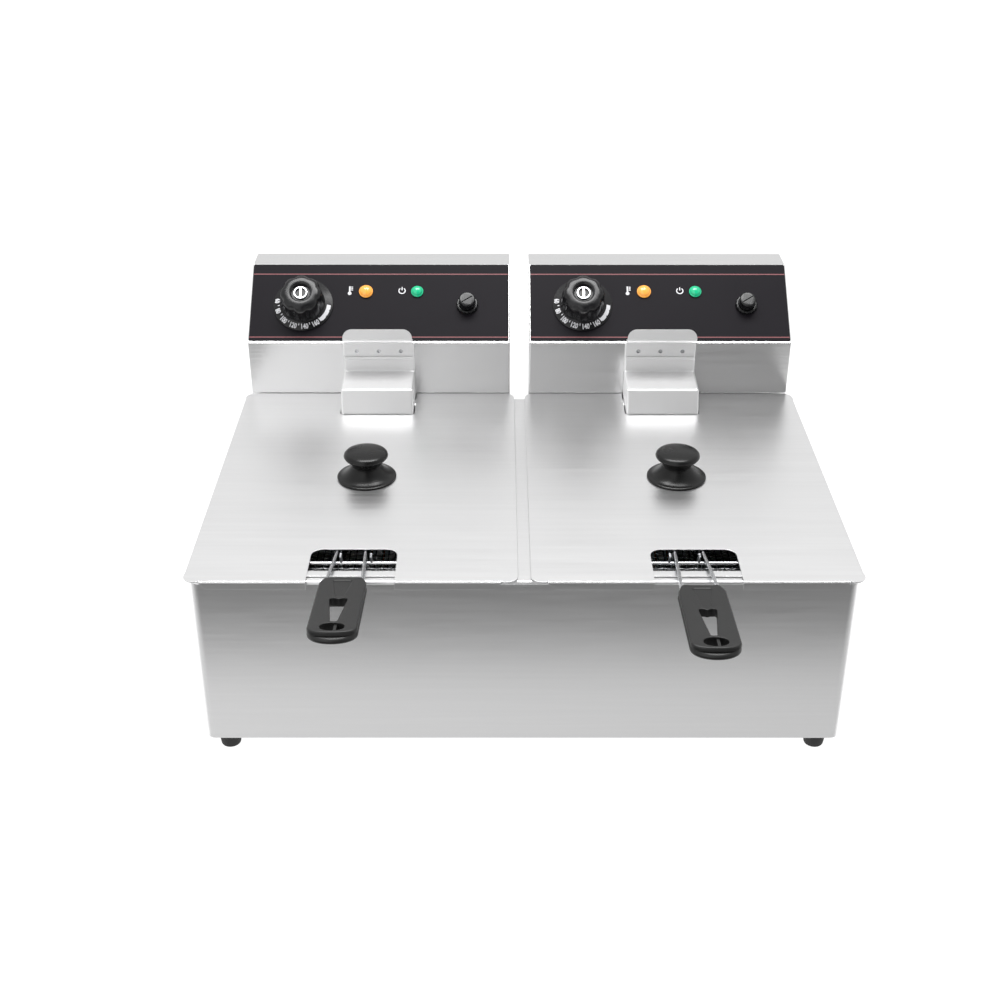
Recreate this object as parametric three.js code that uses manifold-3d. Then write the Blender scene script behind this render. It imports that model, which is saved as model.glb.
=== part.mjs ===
// Double-tank electric deep fryer, in millimetres, +Z up.
// The two fryers stand side by side in one casing. Each has a lift-out oil tank, a basket, a lid and a
// control head that hangs on the casing's back wall and carries the heating element.
// While it is built, Y = 0 is the casing's front face; the whole model is then shifted along Y so that
// the origin is the centre of its footprint, on the surface it stands on.

import * as THREE from 'three';
import { mergeVertices } from 'three/addons/utils/BufferGeometryUtils.js';
import Module from 'manifold-3d';

const wasm = await Module();
wasm.setup();

// ---------- Driving dimensions ----------

const CLEAR = 0.3; // gap kept between pieces that touch
const SHEET = 1; // stainless sheet of the casing, lids, tanks, heads and shrouds
const STRIP = 1.2; // stainless strip of the brackets, hooks and basket hangers
const BEND_R = 2.5; // bend radius of the sheet, at the middle of its thickness

// casing and feet
const BODY_W = 545;
const BODY_D = 346;
const BODY_H = 158.5;
const BODY_CORNER_R = 9;
const DECK_EDGE_R = 3;
const TRAY_EDGE_H = 14;
const FOOT_H = 18;
const FOOT_R_TOP = 10.5;
const FOOT_R_BASE = 8.5;
const FOOT_INSET = 18;
const FOOT_EDGE = 1; // chamfer round its underside
const FOOT_COLLAR_H = 1.5; // straight part under the casing

// lids
const LID_GAP = 10.5; // between the two lids
const LID_SIDE_OVERHANG = 3.25;
const LID_FRONT_OVERHANG = 4;
const LID_HEAD_GAP = 1.3;
const LID_CORNER_R = 9;
const LID_LIP_H = 7.5;
const LID_LIP_SETBACK = 13.5; // a lip stops this far short of a corner
const LID_RELIEF = 0.5; // slot beside each end of a lip
const HANDLE_NOTCH_W = 71.4;
const HANDLE_NOTCH_D = 51;
const HANDLE_NOTCH_R = 10;
const SHROUD_NOTCH_GAP = 2.2; // round the element shroud
const SHROUD_NOTCH_R = 5;
const KNOB_OUTLINE = [ // radius and height, from the lid up
  [0, 0], [26.7, 0], [26.7, 1.6], [21.7, 3.4], [16, 7.6], [13, 11.3], [14, 14.6], [17.5, 17.8], [20, 21],
  [18, 24.8], [0, 27]];
const SCREW_R = 2.5;
const SCREW_DEPTH = 16; // its bore in the knob
const SCREW_TIP_GAP = 1;
const SCREW_HEAD_R = 4.5;
const SCREW_HEAD_H = 2;
const WASHER_R = 7;
const WASHER_T = 1;

// oil tanks
const TANK_RIM_W = 11.5;
const TANK_RIM_INSET_X = 3.75; // the rim ends this far inside the lid's edge
const TANK_RIM_INSET_Y = 6.7; // and this far inside the casing's front and back
const TANK_DEPTH = 145;
const TANK_CORNER_R = 28;
const TANK_FLOOR_R = 12;
const DECK_TANK_GAP = 1; // the deck's opening round the tank

// heating element and its sensors
const ELEMENT_R = 4;
const ELEMENT_LIFT = 22; // under the tube, above the tank's floor
const ELEMENT_SIDE_GAP = 24; // tube's centre line to the tank's side wall
const ELEMENT_FRONT_GAP = 32;
const ELEMENT_INNER_X = 34; // the two middle runs
const ELEMENT_REAR_Y = 62; // the middle runs turn this far in front of the legs
const ELEMENT_LEG_X = 20;
const ELEMENT_BEND_R = 16;
const ELEMENT_TAIL = 34; // how far the legs reach into the head
const ELEMENT_ROOF_GAP = 2; // between the legs and the shroud's step
const ELEMENT_HOLE_GAP = 0.4;
const BULB_R = 3;
const BULB_DROP = 1; // bulb's centre line below the tube's
const BULB_LENGTH = 80;
const BULB_FRONT_GAP = 70; // bulb's tip behind the element's front bends
const BULB_X = 9;
const CAPILLARY_R = 1;
const CAPILLARY_X = 6;
const CAPILLARY_TAIL = 14;
const CAPILLARY_DROP = 6; // below the tube's centre line on the way to the legs
const CAPILLARY_BEND_R = 6;
const CAPILLARY_START = 4; // inside the bulb
const CAPILLARY_STRAIGHT = 12; // from the bulb
const CAPILLARY_SLANT = 18; // and then down over this length
const CLIP_W = 12;

// baskets
const BASKET_FRONT_GAP = 11.5; // basket's front wall behind the tank's front wall
const BASKET_REAR_GAP = 32; // basket's back wall in front of the element's legs
const BASKET_SIDE_GAP = 22;
const BASKET_LID_GAP = 1.2;
const BASKET_WALL = 1.8;
const BASKET_CORNER_R = 22;
const BASKET_FLOOR_R = 8;
const BASKET_RIM_R = 1.5;
const HOOK_WIRE_R = 1.2;
const HOOK_RISE = 8;
const HOOK_SHIFT = 5.4; // each hook stands this far from its rod, towards the fryer's middle
const HANDLE_SHIFT = 3; // both handles sit this far to the left of their basket's middle
const ROD_R = 1.6;
const ROD_GAP_REAR = 22; // between the handle's rods, inside the basket
const ROD_GAP_FRONT = 29; // and where they enter the grip
const ROD_REACH = 34; // rods turn down this far behind the basket's front wall
const ROD_DROP = 44;
const ROD_BEND_R = 9;
const ROD_IN_GRIP = 34;
const GRIP_OVERHANG_LEFT = 14.7; // a grip's rod end in front of the casing
const GRIP_OVERHANG_RIGHT = 28.8;
const GRIP_DROOP_LEFT = 0.6; // degrees by which a grip hangs lower than its rods
const GRIP_DROOP_RIGHT = 3.9;
const GRIP_L = 103;
const GRIP_W = 38;
const GRIP_MOUTH_W = 31;
const GRIP_MOUTH_L = 10; // it narrows to the mouth over this length
const GRIP_T = 9.5;
const GRIP_TAIL_R = 17;
const GRIP_EDGE_R = 2.5;
const GRIP_SLOT_START = 40.3;
const GRIP_SLOT_L = 41;
const GRIP_SLOT_W_REAR = 14;
const GRIP_SLOT_W_FRONT = 5.5;
const GRIP_EYE_W = 18.5;
const GRIP_EYE_L = 13;
const GRIP_EYE_FROM_TAIL = 12.7;
const GRIP_WEB_W = 2.2; // the rib across the eye
const GRIP_WEB_X = 2;
const GRIP_WEB_DROP = 1.5; // below the grip's face, and how far it runs into the eye's ends

// heads
const HEAD_SIDE_INSET = 4.35; // head's side inside the lid's edge
const HEAD_GAP = 6.6; // head's face behind the casing's back wall
const HEAD_FACE_H = 57; // vertical face above the deck
const HEAD_H = 113.5; // top above the deck
const HEAD_D = 103;
const HEAD_TOP_D = 31.8;
const HEAD_DROP = 66; // underside below the deck
const VENT_W = 4;
const VENT_L = 34;
const VENT_PITCH = 12;
const VENT_COUNT = 6;
const VENT_X = 60;
const VENT_FROM = 50; // lowest slot above the head's underside
const FILM_T = 0.5;
const FILM_SIDE = 1.2;
const FILM_BOTTOM = 2.8;
const FILM_TOP = 0.7;
const FILM_CORNER_R = 1;

// controls, placed on the sloped panel from its middle (U) and from its lower edge (V)
const DIAL_U = -77;
const DIAL_V = 43.2;
const DIAL_SKIRT_R = 30;
const DIAL_SKIRT_T = 4;
const DIAL_GRIP_R = 22;
const DIAL_GRIP_TOP_R = 20;
const DIAL_H = 26;
const DIAL_LOBES = 8;
const DIAL_LOBE_DEPTH = 1.6;
const DIAL_EDGE = 1;
const SHAFT_R = 3;
const SHAFT_L = 18;
const BUSH_R = 4.5;
const THERMOSTAT = [44, 36, 24];
const LAMP_V = 58.3;
const HEATING_LAMP_U = -14.5;
const HEATING_LAMP_R = 7;
const POWER_LAMP_U = 37.3;
const POWER_LAMP_R = 6.2;
const LAMP_H = 5;
const LAMP_COLLAR_H = 1.6;
const LAMP_DOME_STEPS = 3;
const LAMP_BODY_R = 4.8;
const LAMP_BODY_L = 22;
const RESET_U = 88;
const RESET_V = 43;
const RESET_NUT_R = 11;
const RESET_NUT_H = 3.4;
const RESET_NUT_WEB = 1.2;
const RESET_CAP_R = 8;
const RESET_CAP_H = 8.5;
const RESET_TRAVEL = 2.5;
const RESET_STEM_R = 2;
const RESET_NECK_R = 4.6;
const RESET_RECESS_GAP = 0.5;
const RESET_EDGE = 1;
const RESET_GUIDE_DEPTH = 10; // the stem's hole below the panel
const LIMITER = [30, 26, 22];
const PANEL_HOLE_GAP = 0.4;

// element shroud and basket hanger
const SHROUD_W = 69;
const SHROUD_REACH = 48.6; // front face before the head's face
const SHROUD_H = 27; // top of its step above the deck
const SHROUD_STEP_L = 41.5; // crease at the step's end, before the head's face
const SHROUD_STEP_FALL = 2; // the step slopes down by this towards the crease
const SHROUD_CREASE_R = 3;
const SHROUD_HEEL_R = 5;
const SHROUD_KNEE_RISE = 1.5; // above the lid, where the slanted front turns straight down
const SHROUD_KNEE_R = 4;
const SHROUD_DIP = 26; // below the deck, inside the tank
const SHROUD_TANK_GAP = 3; // to the tank's back wall
const RISER_H = 58;
const HANGER_W = 68.5;
const HANGER_PLATE_FROM = 40.5; // plate's lower edge above the deck
const HANGER_LEDGE_H = 62.5;
const HANGER_LEDGE = 13;
const HANGER_LIP_H = 14.7;
const HANGER_LIP_LEAN = 1.8;
const HANGER_CORNER_R = 9;

// brackets, hooks and what sits inside the heads
const BRACKET_W = 120;
const BRACKET_DROP = 42; // bracket's web below the deck
const BRACKET_BACK_H = 30;
const BRACKET_LIP_H = 13;
const BRACKET_BEND_R = 0.7;
const HOOK_BEND_R = 1;
const HOOK_JOG_DROP = 22;
const HOOK_FLANGE_TOP_DROP = 6;
const TERMINAL = [54, 18, 16];
const TERMINAL_POLES = 5;
const TERMINAL_GROOVE = 2;
const TERMINAL_BACK_GAP = 12;
const SWITCH = [20, 10, 16];
const SWITCH_BUTTON = [4, 3, 2];
const SWITCH_X = 62;
const GLAND_X = 85;
const GLAND_BORE_R = 4;
const GLAND_NECK_R = 7.5;
const GLAND_FLANGE_R = 11.5;
const GLAND_FLANGE_T = 5;
const GLAND_DOME_L = 12;
const GLAND_TAPER = 1;
const GLAND_THREAD_L = 4; // inside the head

// ---------- Places worked out from them ----------

const DECK_Z = FOOT_H + BODY_H;
const LID_W = BODY_W / 2 + LID_SIDE_OVERHANG - LID_GAP / 2;
const STATION_X = LID_GAP / 2 + LID_W / 2;
const RIM_Z = DECK_Z + CLEAR; // underside of the tank's rim
const LID_Z = RIM_Z + SHEET + CLEAR; // underside of the lid
const LID_TOP_Z = LID_Z + SHEET;
const FACE_Y = BODY_D + HEAD_GAP;
const LID_FRONT_Y = -LID_FRONT_OVERHANG;
const LID_BACK_Y = FACE_Y - LID_HEAD_GAP;
const KNOB_Y = (LID_FRONT_Y + LID_BACK_Y) / 2;
const NOTCH_BACK_Y = LID_FRONT_Y + HANDLE_NOTCH_D;

const TANK_HALF_W = LID_W / 2 - TANK_RIM_INSET_X - TANK_RIM_W; // inside the tank
const TANK_FRONT_Y = TANK_RIM_INSET_Y + TANK_RIM_W;
const TANK_BACK_Y = BODY_D - TANK_RIM_INSET_Y - TANK_RIM_W;
const TANK_BASE_Z = RIM_Z + SHEET - TANK_DEPTH;

const SHROUD_FRONT_Y = FACE_Y - SHROUD_REACH;
const SHROUD_BACK_Y = TANK_BACK_Y - SHROUD_TANK_GAP; // back edge of the part inside the tank
const SHROUD_TOP_Z = DECK_Z + SHROUD_H;
const ELEMENT_Z = TANK_BASE_Z + SHEET + ELEMENT_LIFT + ELEMENT_R;
const LEG_Y = (SHROUD_FRONT_Y + SHROUD_BACK_Y) / 2;
const LEG_TOP_Z = SHROUD_TOP_Z - SHROUD_STEP_FALL - SHEET - ELEMENT_ROOF_GAP - ELEMENT_R;

const BASKET_FRONT_Y = TANK_FRONT_Y + BASKET_FRONT_GAP;
const BASKET_BACK_Y = LEG_Y - BASKET_REAR_GAP;
const BASKET_HALF_W = TANK_HALF_W - BASKET_SIDE_GAP;
const BASKET_BASE_Z = ELEMENT_Z + ELEMENT_R + CLEAR;
const BASKET_TOP_Z = LID_Z - BASKET_LID_GAP;

const HEAD_W = LID_W - 2 * HEAD_SIDE_INSET;
const HEAD_BASE_Z = DECK_Z - HEAD_DROP;
const HEAD_TOP_Z = DECK_Z + HEAD_H;
const HEAD_BACK_Y = FACE_Y + HEAD_D;
const GLAND_Y = (FACE_Y + HEAD_BACK_Y) / 2;
const PANEL_FOOT = new THREE.Vector2(FACE_Y, DECK_Z + HEAD_FACE_H);
const PANEL_HEAD = new THREE.Vector2(HEAD_BACK_Y - HEAD_TOP_D, HEAD_TOP_Z);
const PANEL_L = PANEL_FOOT.distanceTo(PANEL_HEAD);
const PANEL_TILT = Math.atan2(PANEL_HEAD.y - PANEL_FOOT.y, PANEL_HEAD.x - PANEL_FOOT.x);
const FILM_TOP_W = CLEAR + FILM_T; // the film's face above the panel
const ON_FILM = FILM_TOP_W + CLEAR; // where a control sits on the film

// ---------- Materials ----------

function finish(color, roughness, metalness) {
  return new THREE.MeshStandardMaterial({ color, roughness, metalness });
}

const stainless = finish(0xc8c9ca, 0.32, 1);
const chrome = finish(0xd2d4d6, 0.12, 1);
const black = finish(0x141414, 0.5, 0);
const rubber = finish(0x101010, 0.85, 0);
const film = finish(0x3c373d, 0.45, 0);
const amber = finish(0xf39a2c, 0.25, 0);
const green = finish(0x1fae7c, 0.25, 0);
const incoloy = finish(0x6d6a66, 0.45, 1);
const copper = finish(0xb07b4c, 0.35, 1);
const ceramic = finish(0xe4e0d6, 0.6, 0);

// ---------- Solids ----------

// A closed geometry as a solid: its vertices are merged and triangles without area are dropped.
function solid(geometry) {
  const bare = geometry.clone();
  bare.deleteAttribute('normal');
  bare.deleteAttribute('uv');
  const merged = mergeVertices(bare, 1e-4);
  const corners = merged.index.array;
  const kept = [];
  for (let i = 0; i < corners.length; i += 3) {
    const [a, b, c] = corners.slice(i, i + 3);
    if (a !== b && b !== c && c !== a) kept.push(a, b, c);
  }
  const vertProperties = new Float32Array(merged.attributes.position.array);
  return new wasm.Manifold(new wasm.Mesh({ numProp: 3, vertProperties, triVerts: new Uint32Array(kept) }));
}

const union = (first, ...others) => others.reduce((sum, other) => sum.add(other), first);
const without = (first, ...others) => others.reduce((rest, other) => rest.subtract(other), first);

function mesh(name, shape, material) {
  const { vertProperties, triVerts } = shape.getMesh();
  const geometry = new THREE.BufferGeometry();
  geometry.setAttribute('position', new THREE.BufferAttribute(vertProperties, 3));
  geometry.setIndex(new THREE.BufferAttribute(triVerts, 1));
  geometry.computeVertexNormals();
  const result = new THREE.Mesh(geometry, material);
  result.name = name;
  return result;
}

function box(x0, x1, y0, y1, z0, z1) {
  const geometry = new THREE.BoxGeometry(x1 - x0, y1 - y0, z1 - z0);
  return solid(geometry.translate((x0 + x1) / 2, (y0 + y1) / 2, (z0 + z1) / 2));
}

// An upright cylinder from z0 to z1 about (x, y).
function post(x, y, radius, z0, z1, sides = 12) {
  const geometry = new THREE.CylinderGeometry(radius, radius, z1 - z0, sides);
  return solid(geometry.rotateX(Math.PI / 2).translate(x, y, (z0 + z1) / 2));
}

// A body of revolution about the Z axis from [radius, height] points that run upwards on the outside.
function turned(points, sides) {
  const profile = points.map(([radius, height]) => new THREE.Vector2(radius, height));
  return solid(new THREE.LatheGeometry(profile, sides).rotateX(Math.PI / 2));
}

function roundedRect(x0, x1, y0, y1, radius) {
  const shape = new THREE.Shape();
  shape.absarc(x1 - radius, y0 + radius, radius, -Math.PI / 2, 0);
  shape.absarc(x1 - radius, y1 - radius, radius, 0, Math.PI / 2);
  shape.absarc(x0 + radius, y1 - radius, radius, Math.PI / 2, Math.PI);
  shape.absarc(x0 + radius, y0 + radius, radius, Math.PI, 1.5 * Math.PI);
  return shape;
}

function polygon(points) {
  return new THREE.Shape(points.map(([x, y]) => new THREE.Vector2(x, y)));
}

// A plan shape raised from z0 to z1.
function slab(shape, z0, z1, curveSegments = 4) {
  const geometry = new THREE.ExtrudeGeometry(shape, { depth: z1 - z0, bevelEnabled: false, curveSegments });
  return solid(geometry.translate(0, 0, z0));
}

// A slab with its upper and lower edges rounded.
function pillow(shape, z0, z1, edge, curveSegments = 4, bevelSegments = 2) {
  const geometry = new THREE.ExtrudeGeometry(shape, {
    depth: z1 - z0 - 2 * edge, curveSegments, bevelEnabled: true, bevelSegments,
    bevelThickness: edge, bevelSize: edge, bevelOffset: -edge,
  });
  return solid(geometry.translate(0, 0, z0 + edge));
}

// Turns a shape drawn in (y, z) and raised along its third axis so that it runs along X.
const ALONG_X = new THREE.Matrix4().makeBasis(
  new THREE.Vector3(0, 1, 0), new THREE.Vector3(0, 0, 1), new THREE.Vector3(1, 0, 0));

// A side profile of [y, z] points, from x0 to x1.
function profileAlongX(points, x0, x1) {
  const geometry = new THREE.ExtrudeGeometry(polygon(points), { depth: x1 - x0, bevelEnabled: false });
  return solid(geometry.translate(0, 0, x0).applyMatrix4(ALONG_X));
}

// Points of a path with its corners rounded by arcs of the given radius.
function rounded(corners, radius, steps = 4) {
  const path = [corners[0].clone()];
  for (let i = 1; i < corners.length - 1; i++) {
    const back = corners[i - 1].clone().sub(corners[i]).normalize();
    const ahead = corners[i + 1].clone().sub(corners[i]).normalize();
    const half = Math.acos(THREE.MathUtils.clamp(back.dot(ahead), -1, 1)) / 2;
    const r = Array.isArray(radius) ? radius[i - 1] : radius;
    const bisector = back.clone().add(ahead).normalize();
    const centre = corners[i].clone().addScaledVector(bisector, r / Math.sin(half));
    const from = corners[i].clone().addScaledVector(back, r / Math.tan(half)).sub(centre);
    const to = corners[i].clone().addScaledVector(ahead, r / Math.tan(half)).sub(centre);
    const sweep = Math.PI - 2 * half;
    for (let k = 0; k <= steps; k++) {
      const part = k / steps;
      const point = from.clone().multiplyScalar(Math.sin((1 - part) * sweep) / Math.sin(sweep));
      path.push(point.addScaledVector(to, Math.sin(part * sweep) / Math.sin(sweep)).add(centre));
    }
  }
  path.push(corners.at(-1).clone());
  return path;
}

// A strip of sheet bent along a path of [y, z] corners at the middle of its thickness, from x0 to x1.
function bentSheet(corners, thickness, x0, x1, radius = BEND_R, steps = 3) {
  const path = rounded(corners.map(([y, z]) => new THREE.Vector2(y, z)), radius, steps);
  const side = (sign) => path.map((point, i) => {
    const before = path[Math.max(i - 1, 0)];
    const after = path[Math.min(i + 1, path.length - 1)];
    const along = after.clone().sub(before).normalize();
    const first = point.clone().sub(before).normalize();
    const spread = i > 0 && i < path.length - 1 ? 1 / Math.max(first.dot(along), 0.5) : 1;
    const reach = sign * spread * thickness / 2;
    return [point.x - along.y * reach, point.y + along.x * reach];
  });
  return profileAlongX([...side(-1), ...side(1).reverse()], x0, x1);
}

// A curve through given points, with one ring of the sweep at each of them.
class WirePath extends THREE.Curve {
  constructor(points) {
    super();
    this.points = points;
  }

  getPoint(t, target = new THREE.Vector3()) {
    const place = t * (this.points.length - 1);
    const i = Math.min(Math.floor(place + 1e-6), this.points.length - 2);
    return target.copy(this.points[i]).lerp(this.points[i + 1], place - i);
  }

  getPointAt(t, target) {
    return this.getPoint(t, target);
  }

  getTangentAt(t, target = new THREE.Vector3()) {
    const last = this.points.length - 1;
    const i = Math.round(t * last);
    const ahead = this.points[Math.min(i + 1, last)].clone().sub(this.points[i]).normalize();
    const back = this.points[i].clone().sub(this.points[Math.max(i - 1, 0)]).normalize();
    return target.copy(ahead.add(back).normalize());
  }
}

// A round wire or tube through corners given as [x, y, z], rounded by a bend radius.
function wire(corners, wireRadius, bendRadius, sides = 8, steps = 3) {
  const path = rounded(corners.map((corner) => new THREE.Vector3(...corner)), bendRadius, steps);
  const section = new THREE.Shape();
  for (let i = 0; i < sides; i++) {
    const angle = (i + 0.5) * 2 * Math.PI / sides;
    const x = wireRadius * Math.cos(angle);
    const y = wireRadius * Math.sin(angle);
    if (i === 0) section.moveTo(x, y);
    else section.lineTo(x, y);
  }
  section.closePath();
  const extrudePath = new WirePath(path);
  const settings = { steps: path.length - 1, extrudePath, bevelEnabled: false };
  return solid(new THREE.ExtrudeGeometry(section, settings));
}

const mirrored = (corners) => [...corners, ...corners.map(([x, y, z]) => [-x, y, z]).reverse()];

// ---------- Casing ----------

const BODY_BOX = [-BODY_W / 2, BODY_W / 2, 0, BODY_D];

const inset = ([x0, x1, y0, y1], by) => [x0 + by, x1 - by, y0 + by, y1 - by];

function outerCasing() {
  const shell = (by) => {
    const plan = roundedRect(...inset(BODY_BOX, by), BODY_CORNER_R - by);
    return pillow(plan, FOOT_H - BODY_CORNER_R, DECK_Z - by, DECK_EDGE_R - by);
  };
  const below = box(-BODY_W, BODY_W, -BODY_D, 2 * BODY_D, -BODY_H, FOOT_H);
  const around = SHEET + DECK_TANK_GAP;
  const openings = [-1, 1].map((side) => {
    const x = side * STATION_X;
    const half = TANK_HALF_W + around;
    const plan = roundedRect(
      x - half, x + half, TANK_FRONT_Y - around, TANK_BACK_Y + around, TANK_CORNER_R + around);
    return slab(plan, DECK_Z - 2 * SHEET, DECK_Z + SHEET);
  });
  return without(shell(0), shell(SHEET), below, ...openings);
}

// The tray that closes the casing from below, with its edge turned up inside the walls.
function bottomPlate() {
  const plan = (by) => roundedRect(...inset(BODY_BOX, by), BODY_CORNER_R - by);
  const outside = SHEET + CLEAR;
  const tray = slab(plan(outside), FOOT_H, FOOT_H + TRAY_EDGE_H);
  return without(tray, slab(plan(outside + SHEET), FOOT_H + SHEET, FOOT_H + 2 * TRAY_EDGE_H));
}

function foot(x, y) {
  const top = FOOT_H - CLEAR;
  const profile = [
    [0, 0], [FOOT_R_BASE - FOOT_EDGE, 0], [FOOT_R_BASE, FOOT_EDGE], [FOOT_R_TOP, top - FOOT_COLLAR_H],
    [FOOT_R_TOP, top], [0, top]];
  return turned(profile, 16).translate([x, y, 0]);
}

// ---------- Tank, lid and basket, drawn about the fryer's own centre line ----------

function oilTank() {
  const inside = [-TANK_HALF_W, TANK_HALF_W, TANK_FRONT_Y, TANK_BACK_Y];
  const walls = (by, top, floorR) => {
    const plan = roundedRect(...inset(inside, -by), TANK_CORNER_R + by);
    return pillow(plan, TANK_BASE_Z + SHEET - by, top + floorR, floorR, 4, 1);
  };
  const rimPlan = roundedRect(...inset(inside, -TANK_RIM_W), TANK_CORNER_R);
  const top = RIM_Z + SHEET;
  const above = box(-BODY_W, BODY_W, -BODY_D, 2 * BODY_D, top, top + BODY_H);
  const rim = slab(rimPlan, RIM_Z, top);
  return without(union(walls(SHEET, top, TANK_FLOOR_R + SHEET), rim), above, walls(0, top, TANK_FLOOR_R));
}

// The lid of one side. Its outer side lip hangs past the casing: outward is -1 on the left, 1 on the right.
function lid(outward) {
  const half = LID_W / 2;
  const plate = slab(roundedRect(-half, half, LID_FRONT_Y, LID_BACK_Y, LID_CORNER_R), LID_Z, LID_TOP_Z);
  const over = LID_TOP_Z + SHEET;
  const under = LID_Z - LID_LIP_H;
  const notch = (reach, y0, y1, radius) => slab(roundedRect(-reach, reach, y0, y1, radius), under, over);
  const handleNotch = notch(HANDLE_NOTCH_W / 2, LID_FRONT_Y - HANDLE_NOTCH_D, NOTCH_BACK_Y, HANDLE_NOTCH_R);
  const shroudNotch = notch(SHROUD_W / 2 + SHROUD_NOTCH_GAP, SHROUD_FRONT_Y - SHROUD_NOTCH_GAP,
    LID_BACK_Y + SHROUD_REACH, SHROUD_NOTCH_R);
  const screwHole = post(0, KNOB_Y, SCREW_R + CLEAR, under, over);

  const bend = BEND_R + SHEET / 2;
  const middle = LID_Z + SHEET / 2;
  const lipEnd = LID_TOP_Z - LID_LIP_H;
  const fold = (edge, x0, x1) => bentSheet(
    [[edge + 2 * bend, middle], [edge + SHEET / 2, middle], [edge + SHEET / 2, lipEnd]], SHEET, x0, x1);
  const frontEnd = half - LID_LIP_SETBACK;
  const frontLip = fold(LID_FRONT_Y, -frontEnd, frontEnd);
  const frontRelief = box(
    -frontEnd - LID_RELIEF, frontEnd + LID_RELIEF, LID_FRONT_Y - SHEET, LID_FRONT_Y + bend, under, over);

  const sideFrom = LID_FRONT_Y + LID_LIP_SETBACK;
  const sideTo = LID_BACK_Y - LID_LIP_SETBACK;
  const turn = new THREE.Matrix4().makeRotationZ(outward * Math.PI / 2);
  const sideSpan = outward < 0 ? [-sideTo, -sideFrom] : [sideFrom, sideTo];
  const sideLip = fold(-half, ...sideSpan).transform(turn.elements);
  const reliefX = [outward * (half - bend), outward * (half + SHEET)].sort((a, b) => a - b);
  const sideRelief = box(...reliefX, sideFrom - LID_RELIEF, sideTo + LID_RELIEF, under, over);

  const sheet = union(without(plate, frontRelief, sideRelief), frontLip, sideLip);
  return without(sheet, handleNotch, shroudNotch, screwHole);
}

function lidKnob() {
  const bore = post(0, 0, SCREW_R + CLEAR, -SHEET, SCREW_DEPTH);
  return without(turned(KNOB_OUTLINE, 16), bore).translate([0, KNOB_Y, LID_TOP_Z + CLEAR]);
}

function lidKnobScrew() {
  const top = LID_Z - CLEAR;
  const seat = top - WASHER_T;
  const washer = post(0, KNOB_Y, WASHER_R, seat, top);
  const head = post(0, KNOB_Y, SCREW_HEAD_R, seat - SCREW_HEAD_H, top - WASHER_T / 2);
  const shank = post(0, KNOB_Y, SCREW_R, seat, LID_TOP_Z + SCREW_DEPTH - SCREW_TIP_GAP);
  return union(washer, head, shank);
}

const RIM_WIRE_Y = BASKET_FRONT_Y + BASKET_WALL / 2;
const ROD_OVER_RIM_Z = BASKET_TOP_Z + CLEAR + ROD_R;
const ROD_UNDER_LID_Z = LID_Z - CLEAR - ROD_R;
const ROD_SLOPE = (ROD_OVER_RIM_Z - ROD_UNDER_LID_Z) / (NOTCH_BACK_Y - RIM_WIRE_Y);
const HANDLE_TILT = Math.atan(ROD_SLOPE);
const rodZ = (y) => ROD_OVER_RIM_Z + (RIM_WIRE_Y - y) * ROD_SLOPE;
const ROD_TURN_Y = BASKET_FRONT_Y + ROD_REACH;

// Where a handle's grip begins and how it is tilted.
function handle(overhang, droop) {
  return { mouthY: -overhang, tilt: HANDLE_TILT - THREE.MathUtils.degToRad(droop) };
}

const HANDLES = {
  left: handle(GRIP_OVERHANG_LEFT, GRIP_DROOP_LEFT),
  right: handle(GRIP_OVERHANG_RIGHT, GRIP_DROOP_RIGHT),
};

// Half the distance between a handle's rods at a place along Y: they spread towards the grip.
function rodX(y, { mouthY }) {
  const part = (ROD_TURN_Y - y) / (ROD_TURN_Y - mouthY);
  return THREE.MathUtils.lerp(ROD_GAP_REAR, ROD_GAP_FRONT, part) / 2;
}

// The middle of a rod at a depth inside the grip.
function rodInGrip(depth, grip) {
  const y = grip.mouthY - depth * Math.cos(grip.tilt);
  return [rodX(y, grip), y, rodZ(grip.mouthY) + depth * Math.sin(grip.tilt)];
}

// The wire basket as one thin-walled open box with its rim wire and the two small hooks that hold the rods.
function basket(side, outward) {
  const outside = [-BASKET_HALF_W, BASKET_HALF_W, BASKET_FRONT_Y, BASKET_BACK_Y];
  const plan = (by) => roundedRect(...inset(outside, by), BASKET_CORNER_R - by);
  const wall = (by) => pillow(
    plan(by), BASKET_BASE_Z + by, BASKET_TOP_Z + BASKET_FLOOR_R, BASKET_FLOOR_R - by, 3, 1);
  const rimTop = BASKET_TOP_Z;
  const rimBase = rimTop - 2 * BASKET_RIM_R;
  const rimIn = BASKET_WALL / 2 - BASKET_RIM_R; // the rim wire stands out on both sides of the wall
  const above = box(-BODY_W, BODY_W, -BODY_D, 2 * BODY_D, rimTop, rimTop + BODY_H);
  const rim = without(
    slab(plan(rimIn), rimBase, rimTop, 3),
    slab(plan(rimIn + 2 * BASKET_RIM_R), BASKET_BASE_Z, rimTop + SHEET, 3));
  const middle = -HANDLE_SHIFT - outward * HOOK_SHIFT;
  const spread = rodX(RIM_WIRE_Y, HANDLES[side]);
  const hooks = [middle - spread, middle + spread].map((x) => post(
    x, RIM_WIRE_Y, HOOK_WIRE_R, rimTop - BASKET_RIM_R, rimTop + HOOK_RISE, 8));
  return union(without(union(wall(0), rim), above, wall(BASKET_WALL)), ...hooks);
}

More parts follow.
